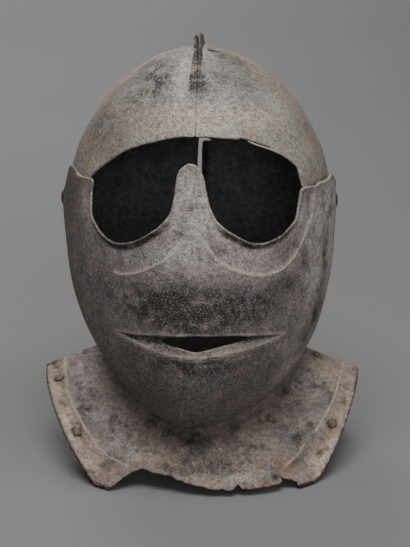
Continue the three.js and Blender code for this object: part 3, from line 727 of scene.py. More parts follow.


# %% [markdown]
# One function makes every iron. It lays the tones over each other from the clean metal up:
# a lighter tone (partly painted light on the mask), cold, tan (with a painted glint on the
# mask), rust, and stain together with painted shade, each where its mask and some patches
# meet. Then come the grain's own light and dark, the pits, the glitter of painted glints, and
# the bare edges together with painted highlights along the chased lines. The roughness
# follows the grain, so that the raised and rubbed iron shines a little more.

# %% Mix an iron
BARE_WIDTH = 0.0011
BARE_AND_SHINE_AMOUNT = 0.75
PIT_DARKNESS = 0.6


def iron(name, light, dark, bright, cold, worn_and_shine, stain=(0.02, 0.016, 0.014, 1),
         rust=(0.2, 0.1, 0.05, 1), tan=(0.36, 0.27, 0.2, 1), fineness=900.0, bump=0.35,
         metallic=0.35, roughness=0.62, sparkle=0.5, contrast=0.3):
    material = bpy.data.materials.new(name)
    material.use_nodes = True
    tree = material.node_tree
    shader = tree.nodes["Principled BSDF"]
    place = add_node(tree, "ShaderNodeTexCoord").outputs["Object"]
    grain = grouped(tree, grain_group, Place=place, Fineness=fineness, Pitting=0.8)
    broad = patches(tree, place, 42.0, 0.4, 0.62)
    chill = math_node(tree, "ADD", named_mask(tree, "cold"), 0.12)
    tan_patches = math_node(tree, "ADD", broad, 0.35)
    # the darkest layer paints real stains and also painted shade; the tan layer also paints a glint
    layers = (
        (named_mask(tree, "light"), patches(tree, place, 70.0, 0.3, 0.55), bright),
        (chill, patches(tree, place, 95.0, 0.5, 0.66), cold),
        (named_mask(tree, "tan"), tan_patches, tan),
        (named_mask(tree, "rust"), patches(tree, place, 150.0, 0.42, 0.6), rust),
        (named_mask(tree, "stain"), patches(tree, place, 120.0, 0.3, 0.62), stain),
    )
    colour = blend(tree, broad, light, dark)
    for mask, broken_by, tint in layers:
        amount = math_node(tree, "MULTIPLY", mask, broken_by, clamp=True)
        colour = blend(tree, amount, colour, tint)
    tone = add_node(tree, "ShaderNodeMapRange", Value=grain.outputs["Tone"])
    tone.inputs["To Min"].default_value = 1 - contrast
    tone.inputs["To Max"].default_value = 1 + contrast
    level = tone.outputs[0]
    grey = add_node(tree, "ShaderNodeCombineColor", Red=level, Green=level, Blue=level)
    colour = blend(tree, 1.0, colour, grey.outputs[0], "MULTIPLY")
    pits = math_node(tree, "MULTIPLY", grain.outputs["Pit"], PIT_DARKNESS)
    colour = blend(tree, pits, colour, stain)
    # the glitter is painted glints of the grain, in the pale worn colour
    sparks = math_node(tree, "MULTIPLY", grain.outputs["Spark"], sparkle)
    colour = blend(tree, sparks, colour, worn_and_shine)
    # bare metal along the edges, and painted highlights along the line mask, both in the pale worn
    # colour
    edge = grouped(tree, wear_group, Place=place, Edge=named_mask(tree, "edge"), Width=BARE_WIDTH)
    shine_breakup = patches(tree, place, 260.0, 0.3, 0.52)
    line = math_node(tree, "MULTIPLY", shine_breakup, named_mask(tree, "line"), clamp=True)
    bare_and_shine = math_node(tree, "MAXIMUM", edge.outputs["Mask"], line)
    colour = blend(tree, math_node(tree, "MULTIPLY", bare_and_shine, BARE_AND_SHINE_AMOUNT), colour, worn_and_shine)
    tree.links.new(colour, shader.inputs["Base Color"])
    shader.inputs["Metallic"].default_value = metallic
    rough = add_node(tree, "ShaderNodeMapRange", Value=grain.outputs["Tone"])
    rough.inputs["To Min"].default_value = roughness + 0.12
    rough.inputs["To Max"].default_value = roughness - 0.1
    tree.links.new(rough.outputs[0], shader.inputs["Roughness"])
    height = add_node(tree, "ShaderNodeBump", Height=grain.outputs["Height"], Strength=bump,
                      Distance=0.0006)
    tree.links.new(height.outputs[0], shader.inputs["Normal"])
    return material


# %% The five irons
SKULL_IRON = iron(
    "skull_iron", light=(0.235, 0.204, 0.184, 1), dark=(0.162, 0.14, 0.127, 1),
    bright=(0.33, 0.294, 0.27, 1), cold=(0.13, 0.14, 0.145, 1), worn_and_shine=(0.52, 0.46, 0.4, 1),
    fineness=1050.0, bump=0.7, sparkle=0.6, contrast=0.42,
)
FACE_IRON = iron(
    "face_iron", light=(0.158, 0.13, 0.12, 1), dark=(0.1, 0.082, 0.076, 1),
    bright=(0.36, 0.318, 0.295, 1), cold=(0.085, 0.1, 0.104, 1), worn_and_shine=(0.52, 0.45, 0.39, 1),
    fineness=1050.0, bump=0.7, sparkle=0.45, contrast=0.42,
)
COLLAR_IRON = iron(
    "collar_iron", light=(0.185, 0.147, 0.13, 1), dark=(0.085, 0.069, 0.063, 1),
    bright=(0.34, 0.3, 0.28, 1), cold=(0.12, 0.12, 0.13, 1), worn_and_shine=(0.48, 0.39, 0.31, 1),
    fineness=950.0, bump=0.7, sparkle=0.25, contrast=0.32,
)
RIVET_IRON = iron(
    "rivet_iron", light=(0.085, 0.068, 0.05, 1), dark=(0.035, 0.028, 0.022, 1),
    bright=(0.2, 0.17, 0.13, 1), cold=(0.1, 0.1, 0.1, 1), worn_and_shine=(0.35, 0.3, 0.22, 1),
    fineness=1100.0, bump=0.6,
)
INNER_IRON = iron(
    "inner_iron", light=(0.15, 0.145, 0.14, 1), dark=(0.11, 0.105, 0.1, 1),
    bright=(0.15, 0.145, 0.14, 1), cold=(0.11, 0.11, 0.11, 1), worn_and_shine=(0.16, 0.15, 0.14, 1),
    fineness=700.0, roughness=0.85, metallic=0.1, sparkle=0.0,
)
print("materials", [m.name for m in bpy.data.materials])

# %% [markdown]
# ## Dressing a piece
# Every finished plate stands for one solid of the frame. It takes the iron outside and a duller
# iron inside, rides on the body it belongs to and hides its solid.


# %% Dress and mount a piece
def finish_piece(piece, material, slot_name, body, *nodes):
    """Gives a piece its iron in two material slots and its body, and hides the solid it stands for. The
    slot name it is given is not used.
    """
    piece.data.materials.append(material)
    piece.data.materials.append(INNER_IRON)
    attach(piece, body)
    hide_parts(*nodes)


# %% [markdown]
# ## The mask
# One sheet of iron, beaten over a stake: two eye notches open at the top with a bar between
# them, a mouth set in a shallow almond, and a keel at the chin. The eye edges flare outwards
# a little. The chased lines stand proud as thin ridges with a painted highlight along each.

# %% Outlines on the mask
EYE_EDGE = table(
    "turn row",
    (-104, 2.45), (-95, 2.3), (-86, 2.12), (-79, 2.02), (-74.5, 1.85), (-71, 1.57), (-68, 1.36),
    (-64.5, 1.29), (-58.7, 1.38), (-54, 1.41), (-46.6, 1.4), (-46.9, 1.7), (-45.6, 2.2), (-42, 2.5),
    (-36, 2.67), (-30, 2.69), (-23, 2.57), (-17, 2.36), (-11.2, 2.0), (-8.4, 1.65), (-7.2, 1.25),
    (-6.2, 0.98), (-4.2, 0.78), (-1.2, 0.68), (1.6, 0.78), (3.8, 1.04), (5, 1.35), (6.2, 1.62),
    (9, 1.97), (14, 2.3), (18, 2.47), (24, 2.61), (30, 2.63), (37.6, 2.52), (42.8, 2.3),
    (44.9, 2.0), (46.4, 1.75), (47.7, 1.57), (52, 1.55), (57.8, 1.59), (60.3, 1.56), (65, 1.58),
    (70.3, 1.58), (74.2, 1.54), (80, 1.66), (87, 1.87), (95, 2.12), (104, 2.4),
)
SLIT_UPPER = table(
    "turn row",
    (-13.6, 4.85), (-10, 4.75), (-5, 4.71), (0.8, 4.69), (5, 4.7), (13, 4.72), (19.3, 4.77),
    (23.5, 4.85),
)
SLIT_LOWER = table(
    "turn row",
    (23.5, 4.87), (19.3, 4.92), (13, 4.95), (5, 5.04), (0.8, 5.08), (-5, 4.99), (-10, 4.94),
    (-13.6, 4.87),
)
LIP_UPPER = table(
    "turn row",
    (-36, 4.9), (-26, 4.8), (-13, 4.68), (1, 4.66), (8, 4.68), (18, 4.72), (29, 4.85), (41, 5.05),
)
LIP_LOWER = table(
    "turn row",
    (41, 5.07), (29, 5.12), (18, 5.16), (8, 5.21), (1, 5.26), (-15, 5.15), (-26, 5.02), (-36, 4.92),
)
SOCKET_LEFT = table(
    "turn row",
    (-34, 3.37), (-30.8, 3.37), (-22.8, 3.25), (-14.2, 3.01), (-8.2, 2.78), (-3.1, 2.53),
)
SOCKET_RIGHT = table(
    "turn row",
    (5, 2.58), (10.2, 2.94), (17.9, 3.17), (27.7, 3.34), (37.4, 3.3), (43.8, 3.1),
)
SIDE_LINE = table(
    "turn row",
    (43.8, 3.1), (46.8, 2.92), (50.5, 2.67), (53.7, 2.43), (55.2, 2.15), (56.6, 1.66),
)


FACE_WEAR = table("height size seed sunk", (0.2, 4, 11, 0), (0.12, 1.6, 12, 0))
SLIT_MARGIN = 0.5 * MM


def eye_region():
    """The space above the mask's free edge, as one closed outline."""
    return np.concatenate([traced(EYE_EDGE, 6), [[104, -3], [-104, -3]]])


def mask_outline(turn, row, points):
    wrap_rows = np.linspace(-0.5, FACE_LAST, 60)
    wrap = between(FACE["wrap"], wrap_rows)
    left, right = np.stack([-wrap, wrap_rows], 1), np.stack([wrap, wrap_rows], 1)
    sheet = np.concatenate([left, right[::-1]])
    slit = np.concatenate([traced(SLIT_UPPER, 5), traced(SLIT_LOWER, 5)])
    kept = depth_inside(face_at, turn, row, points, sheet, 4)
    kept = np.minimum(kept, -depth_inside(face_at, turn, row, points, eye_region()))
    kept += uneven(points, FACE_WEAR)
    return np.minimum(kept, -SLIT_MARGIN - depth_inside(face_at, turn, row, points, slit, 3))


print("landmarks along the free edge", len(EYE_EDGE["turn"]))

# %% [markdown]
# The colour isn't even. Besides patina, the mask has painted shade under the lower lip and
# over the chin, and painted light on the nose bar. Each table below lists soft spots: where
# round the face, where down it, how wide, how tall and how strong. They could be painted as a
# picture, but a table can be read and changed, and it stays sharp at any size.

# %% Stains and painted shade of the mask
# stains, with painted shade under the lower lip and over the chin
FACE_STAINS_AND_SHADE = table(
    "turn row wide tall amount",
    (49.6, 3.2, 2.2, 0.24, 1.5), (66, 3.3, 2.6, 0.35, 1.6), (66, 4.0, 3.0, 0.35, 1.2),
    (40, 3.75, 9, 0.25, 0.9), (62, 5.0, 7, 0.6, 1.2), (56, 6.0, 6, 0.4, 0.9),
    (-68, 4.64, 1.6, 0.12, 1.0), (-20, 3.95, 20, 0.45, 0.75), (1, 4.1, 22, 0.55, 1.6),
    (22, 4.0, 12, 0.35, 0.8), (30, 4.6, 14, 0.35, 0.3), (-10, 6.2, 40, 1.6, 0.3),
    (0, 5.5, 20, 0.25, 1.3),
)
FACE_COLD = table(
    "turn row wide tall amount",
    (1, 2.75, 4, 0.2, 1.0), (-9, 2.99, 5, 0.22, 0.9), (-20, 2.98, 6, 0.2, 0.9),
    (-5, 2.4, 5, 0.2, 0.5), (-17, 3.97, 14, 0.35, 1.0), (18, 3.84, 12, 0.25, 1.0),
    (60, 1.9, 6, 0.25, 0.9), (-25, 3.6, 16, 0.4, 0.6), (-50, 4.0, 15, 0.7, 0.4),
    (10, 6.2, 20, 0.8, 0.35),
)
# lighter spots: lighter patina, and painted light on the nose bar, which faces up
FACE_LIGHT = table(
    "turn row wide tall amount",
    (0, 1.5, 12, 0.95, 1.0), (-10, 2.8, 12, 0.4, 0.7), (14, 2.85, 14, 0.4, 0.5),
    (55, 2.6, 12, 0.9, 0.7), (58, 4.1, 7, 0.9, 1.3), (-50, 1.9, 5, 0.9, 0.7),
    (30, 3.1, 16, 0.35, 0.55), (66, 2.0, 14, 0.8, 0.6), (-30, 3.05, 14, 0.3, 0.5),
    (76, 3.6, 8, 1.8, 1.3), (54, 6.4, 18, 1.2, 0.75), (0, 2.3, 12, 0.7, 0.7),
    (24, 4.6, 14, 0.25, 0.35),
)
# a painted glint at the left temple, laid in the tan colour
TEMPLE_GLINT = table(
    "turn row wide tall amount",
    (-57.6, 1.43, 3, 0.035, 1.6), (-61, 1.6, 3, 0.025, 0.7),
)
print("spots on the mask", sum(len(t["turn"]) for t in (FACE_STAINS_AND_SHADE, FACE_COLD, FACE_LIGHT)))

# %% [markdown]
# The relief is beaten from both sides. A fine line is a ridge over the distance to its curve,
# and a socket is a step on one side of it. The mouth sinks into an almond whose border stands
# proud, with a second line under the lower lip.

# %% Relief of the mask
FACE_INSET = 0.6 * MM
LIP_FLARE = 2.7 * MM
LIP_BAND = 4.4 * MM
LIP_POWER = 1.7
SOCKET_STEP = 0.5 * MM
SOCKET_BAND = (-0.2 * MM, 1.6 * MM, 5 * MM, 10 * MM)
CHASED_HEIGHT = 0.5 * MM
CHASED_WIDTH = 0.8 * MM
SHINE_WIDTH = 0.62 * MM
ARC_SHINE = 1.15
SIDE_SHINE = 0.65
MOUTH_DEPTH = 2.2 * MM
MOUTH_SLOPE = 3.0 * MM
LIP_SPLIT = (4.93, 5.03)
LIP_BORDER = 0.6 * MM
SECOND_LINE = 2.2 * MM
LIP_SHINE_TURNS = (-16, 0, 10, 36)
TORN_TURNS = (46, 49, 72, 78)
KEEL_ROWS = (5.6, 6.3, 8.2, 8.9)
KEEL_HEIGHT = 0.4 * MM
SHADOW_BAND = (0.9 * MM, 1.7 * MM, 3.2 * MM, 5.6 * MM)
FACE_HAMMER = table("height size seed sunk", (0.4, 24, 1, 0.6), (0.14, 8, 2, 0), (0.06, 3, 3, 0))


def ridge(distance, width):
    """A soft ridge or a soft bright line along a curve, 1 on the curve itself."""
    return np.exp(-((distance / width) ** 2))


def from_line(surface, rows, points, steps=6):
    line = traced(rows, steps)
    return distance_to(points, surface(line[:, 0], line[:, 1]))


def chased_arcs(turn, row, points, from_eye):
    """Relief and shine of the lines under and beside the eyes."""
    relief, shine = np.zeros(turn.shape), np.zeros(turn.shape)
    for arc, amount in ((SOCKET_LEFT, ARC_SHINE), (SOCKET_RIGHT, ARC_SHINE), (SIDE_LINE, SIDE_SHINE)):
        away = from_line(face_at, arc, points)
        line = traced(arc, 6)
        region = np.concatenate([line, [[line[-1, 0], 1.0], [line[0, 0], 1.0]]])
        signed = away * np.where(within(turn, row, region), 1, -1)
        drop = plateau(signed, *SOCKET_BAND) * smooth_step(from_eye, 2 * MM, 6 * MM)
        relief += CHASED_HEIGHT * ridge(away, CHASED_WIDTH) - SOCKET_STEP * drop
        # painted highlight along each chased line
        shine = np.maximum(shine, amount * ridge(away, SHINE_WIDTH))
    return relief, shine


def mouth(turn, row, points):
    """Relief, painted highlights and painted shade of the almond round the slit."""
    almond = np.concatenate([traced(LIP_UPPER, 6), traced(LIP_LOWER, 6)])
    inside = depth_inside(face_at, turn, row, points, almond)
    lower = smooth_step(row, *LIP_SPLIT)
    relief = -MOUTH_DEPTH * smooth_step(inside, -0.2 * MM, MOUTH_SLOPE) * (1 - 0.5 * lower)
    relief += LIP_BORDER * ridge(inside, 0.8 * MM)
    relief += 0.5 * MM * ridge(inside + SECOND_LINE, 0.7 * MM) * lower
    # painted highlights along the almond's border, the second line and the lower lip's face
    shine = 0.55 * ridge(inside + 0.1 * MM, 0.75 * MM)
    shine = np.maximum(shine, 0.3 * ridge(inside + SECOND_LINE, 0.6 * MM) * lower)
    lip_face = lower * smooth_step(inside, 0.4 * MM, 1.2 * MM)
    shine = np.maximum(shine, 0.3 * lip_face * plateau(turn, *LIP_SHINE_TURNS))
    # painted shade in the recess: under the upper lip and on the lower lip's face
    under_upper = (1 - lower) * smooth_step(inside, 0.5 * MM, 1.3 * MM)
    return relief, shine, 0.9 * under_upper + 0.3 * lip_face


def mask_shape(turn, row, points, kept):
    from_eye = np.maximum(-depth_inside(face_at, turn, row, points, eye_region()), 0)
    lower = smooth_step(row, 1.7, 2.25) * smooth_step(np.abs(turn), 5, 11)
    flare = np.maximum(1 - from_eye / LIP_BAND, 0) ** LIP_POWER
    arcs, arc_shine = chased_arcs(turn, row, points, from_eye)
    lips, lip_shine, lip_shade = mouth(turn, row, points)
    torn = plateau(turn, *TORN_TURNS)
    relief = LIP_FLARE * flare * (0.12 + 0.88 * lower) + arcs + lips
    relief += 0.5 * MM * ridge(from_eye - 0.6 * MM, 1.2 * MM) * torn
    relief += KEEL_HEIGHT * ridge(turn, 1.6) * plateau(row, *KEEL_ROWS)
    relief += uneven(points, FACE_HAMMER)
    at_temple = smooth_step(np.abs(turn), 60, 80) * (1 - smooth_step(row, 2.5, 3.5))
    relief = relief * (1 - 0.8 * at_temple) - FACE_INSET * (1 - at_temple)
    relief -= MM * ridge(from_eye - LIP_BAND, 2.2 * MM) * lower
    # painted shadow under the flared lower eye lips, added to the dark stain mask below
    below = smooth_step(row, 2.2, 2.55) * (1 - smooth_step(np.abs(turn), 38, 46))
    shadow = plateau(from_eye, *SHADOW_BAND) * below
    # painted highlights: the chased lines, the mouth and the torn edge on the right
    shine = np.maximum(np.maximum(arc_shine, lip_shine), 1.2 * ridge(from_eye, 1.1 * MM) * torn)
    masks = {
        # bare edge colour mostly on the lower eye edges, which face up: wear and a painted highlight
        "edge": kept + 0.5 * MM * (1 - lower),
        "line": shine,
        "stain": spots(turn, row, FACE_STAINS_AND_SHADE) + lip_shade + 1.7 * shadow,
        "cold": spots(turn, row, FACE_COLD),
        "light": spots(turn, row, FACE_LIGHT),
        "tan": spots(turn, row, TEMPLE_GLINT),
        "rust": np.zeros(turn.shape),
    }
    return relief, masks


# %% Make the mask
FACE_STEP = 0.00114
face_turns = even_steps(face_at, 4.0, -103, 103, FACE_STEP, "turn")
face_rows = even_steps(face_at, 0.0, 0.5, FACE_LAST + 0.3, FACE_STEP, "row")
face_mask = iron_plate("face_mask", face_at, face_turns, face_rows, mask_outline, FACE_WALL,
                       mask_shape)
finish_piece(face_mask, FACE_IRON, "face_iron", "visor", "face_plate")

# %% [markdown]
# ## The skull
# Two deep half shells meet along the middle. The brow is cut in one sweep, and at the back
# the seam has opened into a wandering crack that lets daylight in behind the eyes. The hammer
# marks stay as shallow hills: they are geometry, so they also catch light in the profile.

# %% Outlines on the skull
BROW_EDGE = table(
    "turn polar",
    (-67, 140), (-65, 121), (-62, 100), (-58, 84), (-54, 76), (-47, 70.6), (-36, 64), (-25, 60),
    (-12, 57.2), (-2, 56.4), (9, 56.8), (23, 58.4), (38, 63), (46, 67), (51, 70.4), (52.2, 72.4),
    (52.5, 76), (52.8, 80), (53.5, 86), (57.5, 96), (62, 108), (65, 121), (67, 140),
)
LOWER_SIDE = 123
LOWER_NAPE = 141
SEAM_TEAR = table(
    "turn polar",
    (181, 78.7), (178, 78.9), (175.6, 79.5), (175.4, 80.1), (178, 80.3), (181, 80.4),
)
COMB_HOLE = table(
    "turn polar",
    (36, 6.4), (48, 6.0), (60, 7.6), (66, 9.6), (58, 11.0), (50, 9.8), (38, 9.0), (28, 8.6),
)
BROW_SPLIT = table(
    "turn polar",
    (21.8, 58.6), (23.2, 57.6), (25, 57.9), (27, 58.3), (31, 59.6), (37.5, 62.0), (42.5, 65.2),
    (42, 68), (22, 62),
)
SLIVER_LINE = table(
    "turn polar",
    (26.6, 58.9), (28, 59.4), (31, 60.55), (34, 61.5), (37.5, 62.75), (40, 63.7), (43, 65.0),
)
SLIVER_THICK = 0.9 * MM
SKULL_WEAR = table("height size seed sunk", (0.15, 4, 21, 0), (0.15, 1.7, 22, 0))


def at_seam(points):
    return 1 - smooth_step(np.abs(points[..., 0] - SHIFT[0]), 5 * MM, 8 * MM)


def skull_outline(side):
    def outline(turn, polar, points):
        surface = skull_at(side)
        low_turn = np.linspace(0, 180, 60)
        low = LOWER_SIDE + (LOWER_NAPE - LOWER_SIDE) * smooth_step(low_turn, 90, 112)
        shell = np.concatenate([np.stack([low_turn, low], 1), [[180, -9], [0, -9]]])
        edge = np.concatenate([[[0, 0]], np.stack([low_turn, low], 1), [[180, 0]]])
        line = refined(edge, 6)
        line = np.concatenate([refined(edge[:2], 90), line[6:-6], refined(edge[-2:], 90)])
        away = distance_to(points, surface(line[:, 0], line[:, 1]))
        kept = np.where(within(turn, polar, shell), away, -away)
        ragged = 1 - at_seam(points) * (turn < 90)
        brow = traced(BROW_EDGE, 6) * [side, 1]
        brow = np.concatenate([brow, [[side * 67, 165], [-side * 67, 165]]])
        kept = np.minimum(kept, -depth_inside(surface, turn, polar, points, brow))
        if side > 0:
            for hole in (SEAM_TEAR, COMB_HOLE, BROW_SPLIT):
                loop = np.stack(list(hole.values()), axis=1)
                kept = np.minimum(kept, -depth_inside(surface, turn, polar, points, loop, 3))
        return kept + uneven(points, SKULL_WEAR) * ragged

    return outline


print("landmarks along the brow", len(BROW_EDGE["turn"]))

# %% Stains of the skull
SKULL_COLD = table(
    "turn polar wide tall amount",
    (14, 38, 10, 7, 1.0), (40, 40, 14, 8, 0.8), (25, 25, 20, 6, 0.6), (-24, 40, 10, 8, 0.9),
    (-20, 52, 14, 5, 0.5), (-12, 28, 20, 5, 0.6), (52, 20, 16, 6, 0.6), (-8, 44, 8, 6, 0.6),
)
SKULL_STAINS = table(
    "turn polar wide tall amount",
    (16, 30, 14, 5, 0.7), (43, 14, 24, 6, 0.7), (56, 20, 20, 5, 0.35), (-34, 32, 16, 10, 1.1),
    (-62, 24, 24, 8, 0.9), (-60, 58, 9, 11, 0.5), (60, 30, 10, 8, 0.4), (-45, 48, 12, 10, 0.4),
    (-72, 48, 10, 16, 0.3), (34, 36, 12, 3, 0.4),
)
SKULL_LIGHT = table(
    "turn polar wide tall amount",
    (24, 13, 16, 7, 1.2), (-14, 22, 14, 14, 0.9), (0, 50, 60, 6, 0.5), (-14, 36, 8, 8, 0.7),
    (55, 45, 14, 14, 0.7), (20, 40, 16, 6, 0.5), (62, 66, 12, 6, 0.6), (-52, 72, 8, 5, 0.6),
    (25, 48, 14, 6, 0.5),
)
SKULL_TAN = table(
    "turn polar wide tall amount",
    (15, 50, 40, 5, 0.3), (-20, 50, 40, 5, 0.25), (-58, 72, 12, 8, 0.6), (88, 30, 14, 30, 0.6),
    (-88, 35, 14, 30, 0.7),
)
print("spots on the skull", sum(len(t["turn"]) for t in (SKULL_STAINS, SKULL_COLD, SKULL_LIGHT)))

# %% [markdown]
# Where the halves meet, both edges are pinched up towards the comb: a low shoulder on the
# left, a valley with painted shade, and a wider crest on the right, with painted highlights
# along the upward-facing sides. The rest is hammer marks, from wide hollows down to small
# dents, and one little punched ring.

# %% Relief of the skull
RING_MARK = (37.5, 53.2)
RING_RADIUS = 2.6 * MM
PINCH_CREST = 2.4 * MM
PINCH_SHOULDER = -1.7 * MM
PROBE_TURN = 0.4
PROBE_ROW = 0.02
SKULL_HAMMER = table("height size seed sunk", (0.55, 26, 31, 0.5), (0.22, 11, 32, 0), (0.09, 4, 33, 0))


def surface_normal(surface, turn, row):
    """The way straight out of a surface at one place, from four probes round it."""
    turns = np.array([turn - PROBE_TURN, turn + PROBE_TURN])
    rows = np.array([row - PROBE_ROW, row + PROBE_ROW])
    across = np.diff(surface(turns, np.full(2, float(row))), axis=0)[0]
    down = np.diff(surface(np.full(2, float(turn)), rows), axis=0)[0]
    normal = np.cross(down, across)
    return normal / np.linalg.norm(normal)


def ring_line(surface, turn, row, radius):
    """A small punched circle on a surface, as a closed line in space."""
    middle = surface(np.float64(turn), np.float64(row))
    normal = surface_normal(surface, turn, row)
    side = np.cross(normal, [0, 0, 1.0])
    side /= np.linalg.norm(side)
    angle = np.linspace(0, 2 * np.pi, 17)[:, None]
    return middle + radius * (np.cos(angle) * side + np.sin(angle) * np.cross(side, normal))


def lopsided(x, middle, left, right):
    """A ridge along the skull with its own width on either side."""
    return ridge(x - middle, np.where(x < middle, left, right))


def valley(x, polar, front):
    """The strip of painted shade between the two edges, wide in front and narrow behind."""
    start = -(2.2 + 0.1 * polar) * MM
    end = (0.1 * polar - 1) * MM, (1 + 0.24 * polar) * MM
    band = plateau(x, start - 0.7 * MM, start + 0.7 * MM, *end)
    return np.where(front, (1 - smooth_step(polar, 26, 44)) * band, 0.5 * ridge(x, 3 * MM))


def skull_shape(side):
    def shape(turn, polar, points, kept):
        x = points[..., 0] - SHIFT[0]
        signed = turn * side
        front = turn < 90
        fade = 1 - np.where(front, smooth_step(polar, 10, 34), smooth_step(polar, 30, 66))
        crest = lopsided(x, PINCH_CREST, 1.9 * MM, 6 * MM)
        shoulder = lopsided(x, PINCH_SHOULDER, 5 * MM, 0.8 * MM)
        # painted shade in the valley between the edges, added to the dark stain mask
        gap = valley(x, polar, front)
        relief = fade * MM * (crest + 0.9 * shoulder) + uneven(points, SKULL_HAMMER)
        relief -= 0.35 * MM * gap
        # painted highlights along the two upward-facing sides of the comb
        shine = 0.8 * ridge(x + 2.2 * MM, 0.8 * MM) + 0.6 * ridge(x - 3.4 * MM, 1.4 * MM)
        shine *= fade
        if side > 0:
            ring = distance_to(points, ring_line(skull_at(side), *RING_MARK, RING_RADIUS))
            relief -= 0.25 * MM * ridge(ring, 0.7 * MM)
            shine = np.maximum(shine, 0.6 * ridge(ring, 0.8 * MM))
        masks = {
            "edge": kept + np.where(np.abs(x) < 6 * MM, REACH, 0.7 * MM),
            "line": shine,
            "stain": spots(signed, polar, SKULL_STAINS) + 2.2 * gap,
            "cold": spots(signed, polar, SKULL_COLD),
            "light": spots(signed, polar, SKULL_LIGHT),
            "tan": spots(signed, polar, SKULL_TAN),
            "rust": np.zeros(turn.shape),
        }
        return relief, masks

    return shape


# %% [markdown]
# ## The comb
# The smith turned up the edge of each half and closed them on each other. The seam has since
# sprung, so the two edges lean apart at the crown and one stands taller. Each edge is a strip
# swept along the middle of the skull and joined to its own half.

# %% The turned-up edges
COMB = table(
    "polar height left right",
    (34, -0.05, 0.0, 0.0), (27, 0.0, 0.02, 0.0), (17, 0.12, 0.1, 0.0), (8, 0.66, 0.24, -0.06),
    (-3, 1.0, 0.3, -0.1), (-18, 0.95, 0.2, -0.02), (-34, 0.7, 0.06, 0.02), (-50, 0.4, 0.0, 0.0),
    (-64, 0.05, 0.0, 0.0),
)
EDGE_PROFILE = (
    (0, -0.12), (0, 0.3), (0, 0.62), (0.04, 0.88), (0.25, 0.98), (0.6, 1.0), (0.88, 0.93),
    (0.98, 0.7), (1.0, 0.4), (1.25, 0.18), (2.0, -0.02), (2.1, -0.12),
)
COMB_STATIONS = 150
COMB_SHARE = 0.86
COMB_ROOT = 10 * MM
COMB_SWAY = 0.35 * MM
FAR_FROM_EDGE = 0.02


def closed_mesh(name, body, smooth, **masks):
    """Turns a closed body into a mesh that carries an even value of each mask."""
    bmesh.ops.recalc_face_normals(body, faces=body.faces)
    for face in body.faces:
        face.smooth = smooth
    mesh = bpy.data.meshes.new(name)
    body.to_mesh(mesh)
    body.free()
    for mask, value in masks.items():
        layer = mesh.attributes.new(mask, "FLOAT", "POINT")
        layer.data.foreach_set("value", np.full(len(mesh.vertices), value, np.float32))
    return mesh


def outward_from_temple(points):
    """The way from the middle of the head to each point, as lines of length one."""
    out = points - (SHIFT + [0, 0, TEMPLE_HEIGHT])
    return out / np.linalg.norm(out, axis=1, keepdims=True)


def comb_edge(side):
    at = np.linspace(0, len(COMB["polar"]) - 1, COMB_STATIONS)
    polar, height = between(COMB["polar"], at), between(COMB["height"], at)
    lean = between(COMB["left" if side < 0 else "right"], at)
    foot = skull_at(side)(np.where(polar > 0, 0.0, 180.0), np.abs(polar))
    out = outward_from_temple(foot * [0, 1, 1] + SHIFT * [1, 0, 0])
    tall = COMB_SHARE * COMB_HEIGHT + (COMB_STEP if side > 0 else 0)
    nicks = 0.12 * lumps(foot + side, 6 * MM, 41) + 0.1 * lumps(foot + side, 2.2 * MM, 42)
    sway = COMB_SWAY * lumps(foot + side, 5 * MM, 43)
    body = bmesh.new()
    columns = []
    for across, up in EDGE_PROFILE:
        above = max(up, 0)
        rise = tall * height * above * (1 - np.abs(nicks) * above) + min(up, 0) * COMB_ROOT
        width = SEAM_GAP / 2 + COMB_WALL * across + COMB_HEIGHT * lean * above**2 + sway * above
        column = foot + out * rise[:, None]
        column[:, 0] = SHIFT[0] + side * width
        columns.append([body.verts.new(point) for point in column])
    for here, there in zip(columns, columns[1:] + columns[:1]):
        for k in range(COMB_STATIONS - 1):
            body.faces.new((here[k], here[k + 1], there[k + 1], there[k]))
    body.faces.new([column[0] for column in columns])
    body.faces.new([column[-1] for column in columns])
    mesh = closed_mesh("comb_edge", body, True, edge=FAR_FROM_EDGE, line=0.0, stain=1.1, cold=0.3,
                       light=0.0, tan=0.25, rust=0.3)
    worn_and_shine = [FAR_FROM_EDGE if 0.3 > up or across == 0 else 0.0009 for across, up in EDGE_PROFILE]
    worn_and_shine = np.repeat(worn_and_shine, COMB_STATIONS).astype(np.float32)
    mesh.attributes["edge"].data.foreach_set("value", worn_and_shine)
    return mesh


def brow_sliver():
    """The thin strip of the brow edge that has split off and hangs on at one end."""
    line = traced(SLIVER_LINE, 8)
    points = skull_at(1)(line[:, 0], line[:, 1])
    inward = -outward_from_temple(points)
    along = np.gradient(points, axis=0)
    along /= np.linalg.norm(along, axis=1, keepdims=True)
    up = np.cross(along, inward)
    taper = np.clip(np.arange(len(line)) / 8, 0.35, 1)[:, None] * SLIVER_THICK
    body = bmesh.new()
    rings = []
    for depth, height in ((0.1, -0.5), (0.1, 0.5), (1.6, 0.5), (1.6, -0.5)):
        corner = points + inward * depth * taper + up * height * taper
        rings.append([body.verts.new(point) for point in corner])
    for here, there in zip(rings, rings[1:] + rings[:1]):
        for k in range(len(here) - 1):
            body.faces.new((here[k], here[k + 1], there[k + 1], there[k]))
    body.faces.new([ring[0] for ring in rings])
    body.faces.new([ring[-1] for ring in rings])
    return closed_mesh("brow_sliver", body, False, edge=0.0006, line=0.5, stain=0.0, cold=0.0,
                       light=0.5, tan=0.3, rust=0.0)


def join_mesh(piece, extra):
    """Adds a closed mesh to a piece, keeping its masks."""
    body = bmesh.new()
    body.from_mesh(piece.data)
    body.from_mesh(extra)
    body.to_mesh(piece.data)
    body.free()


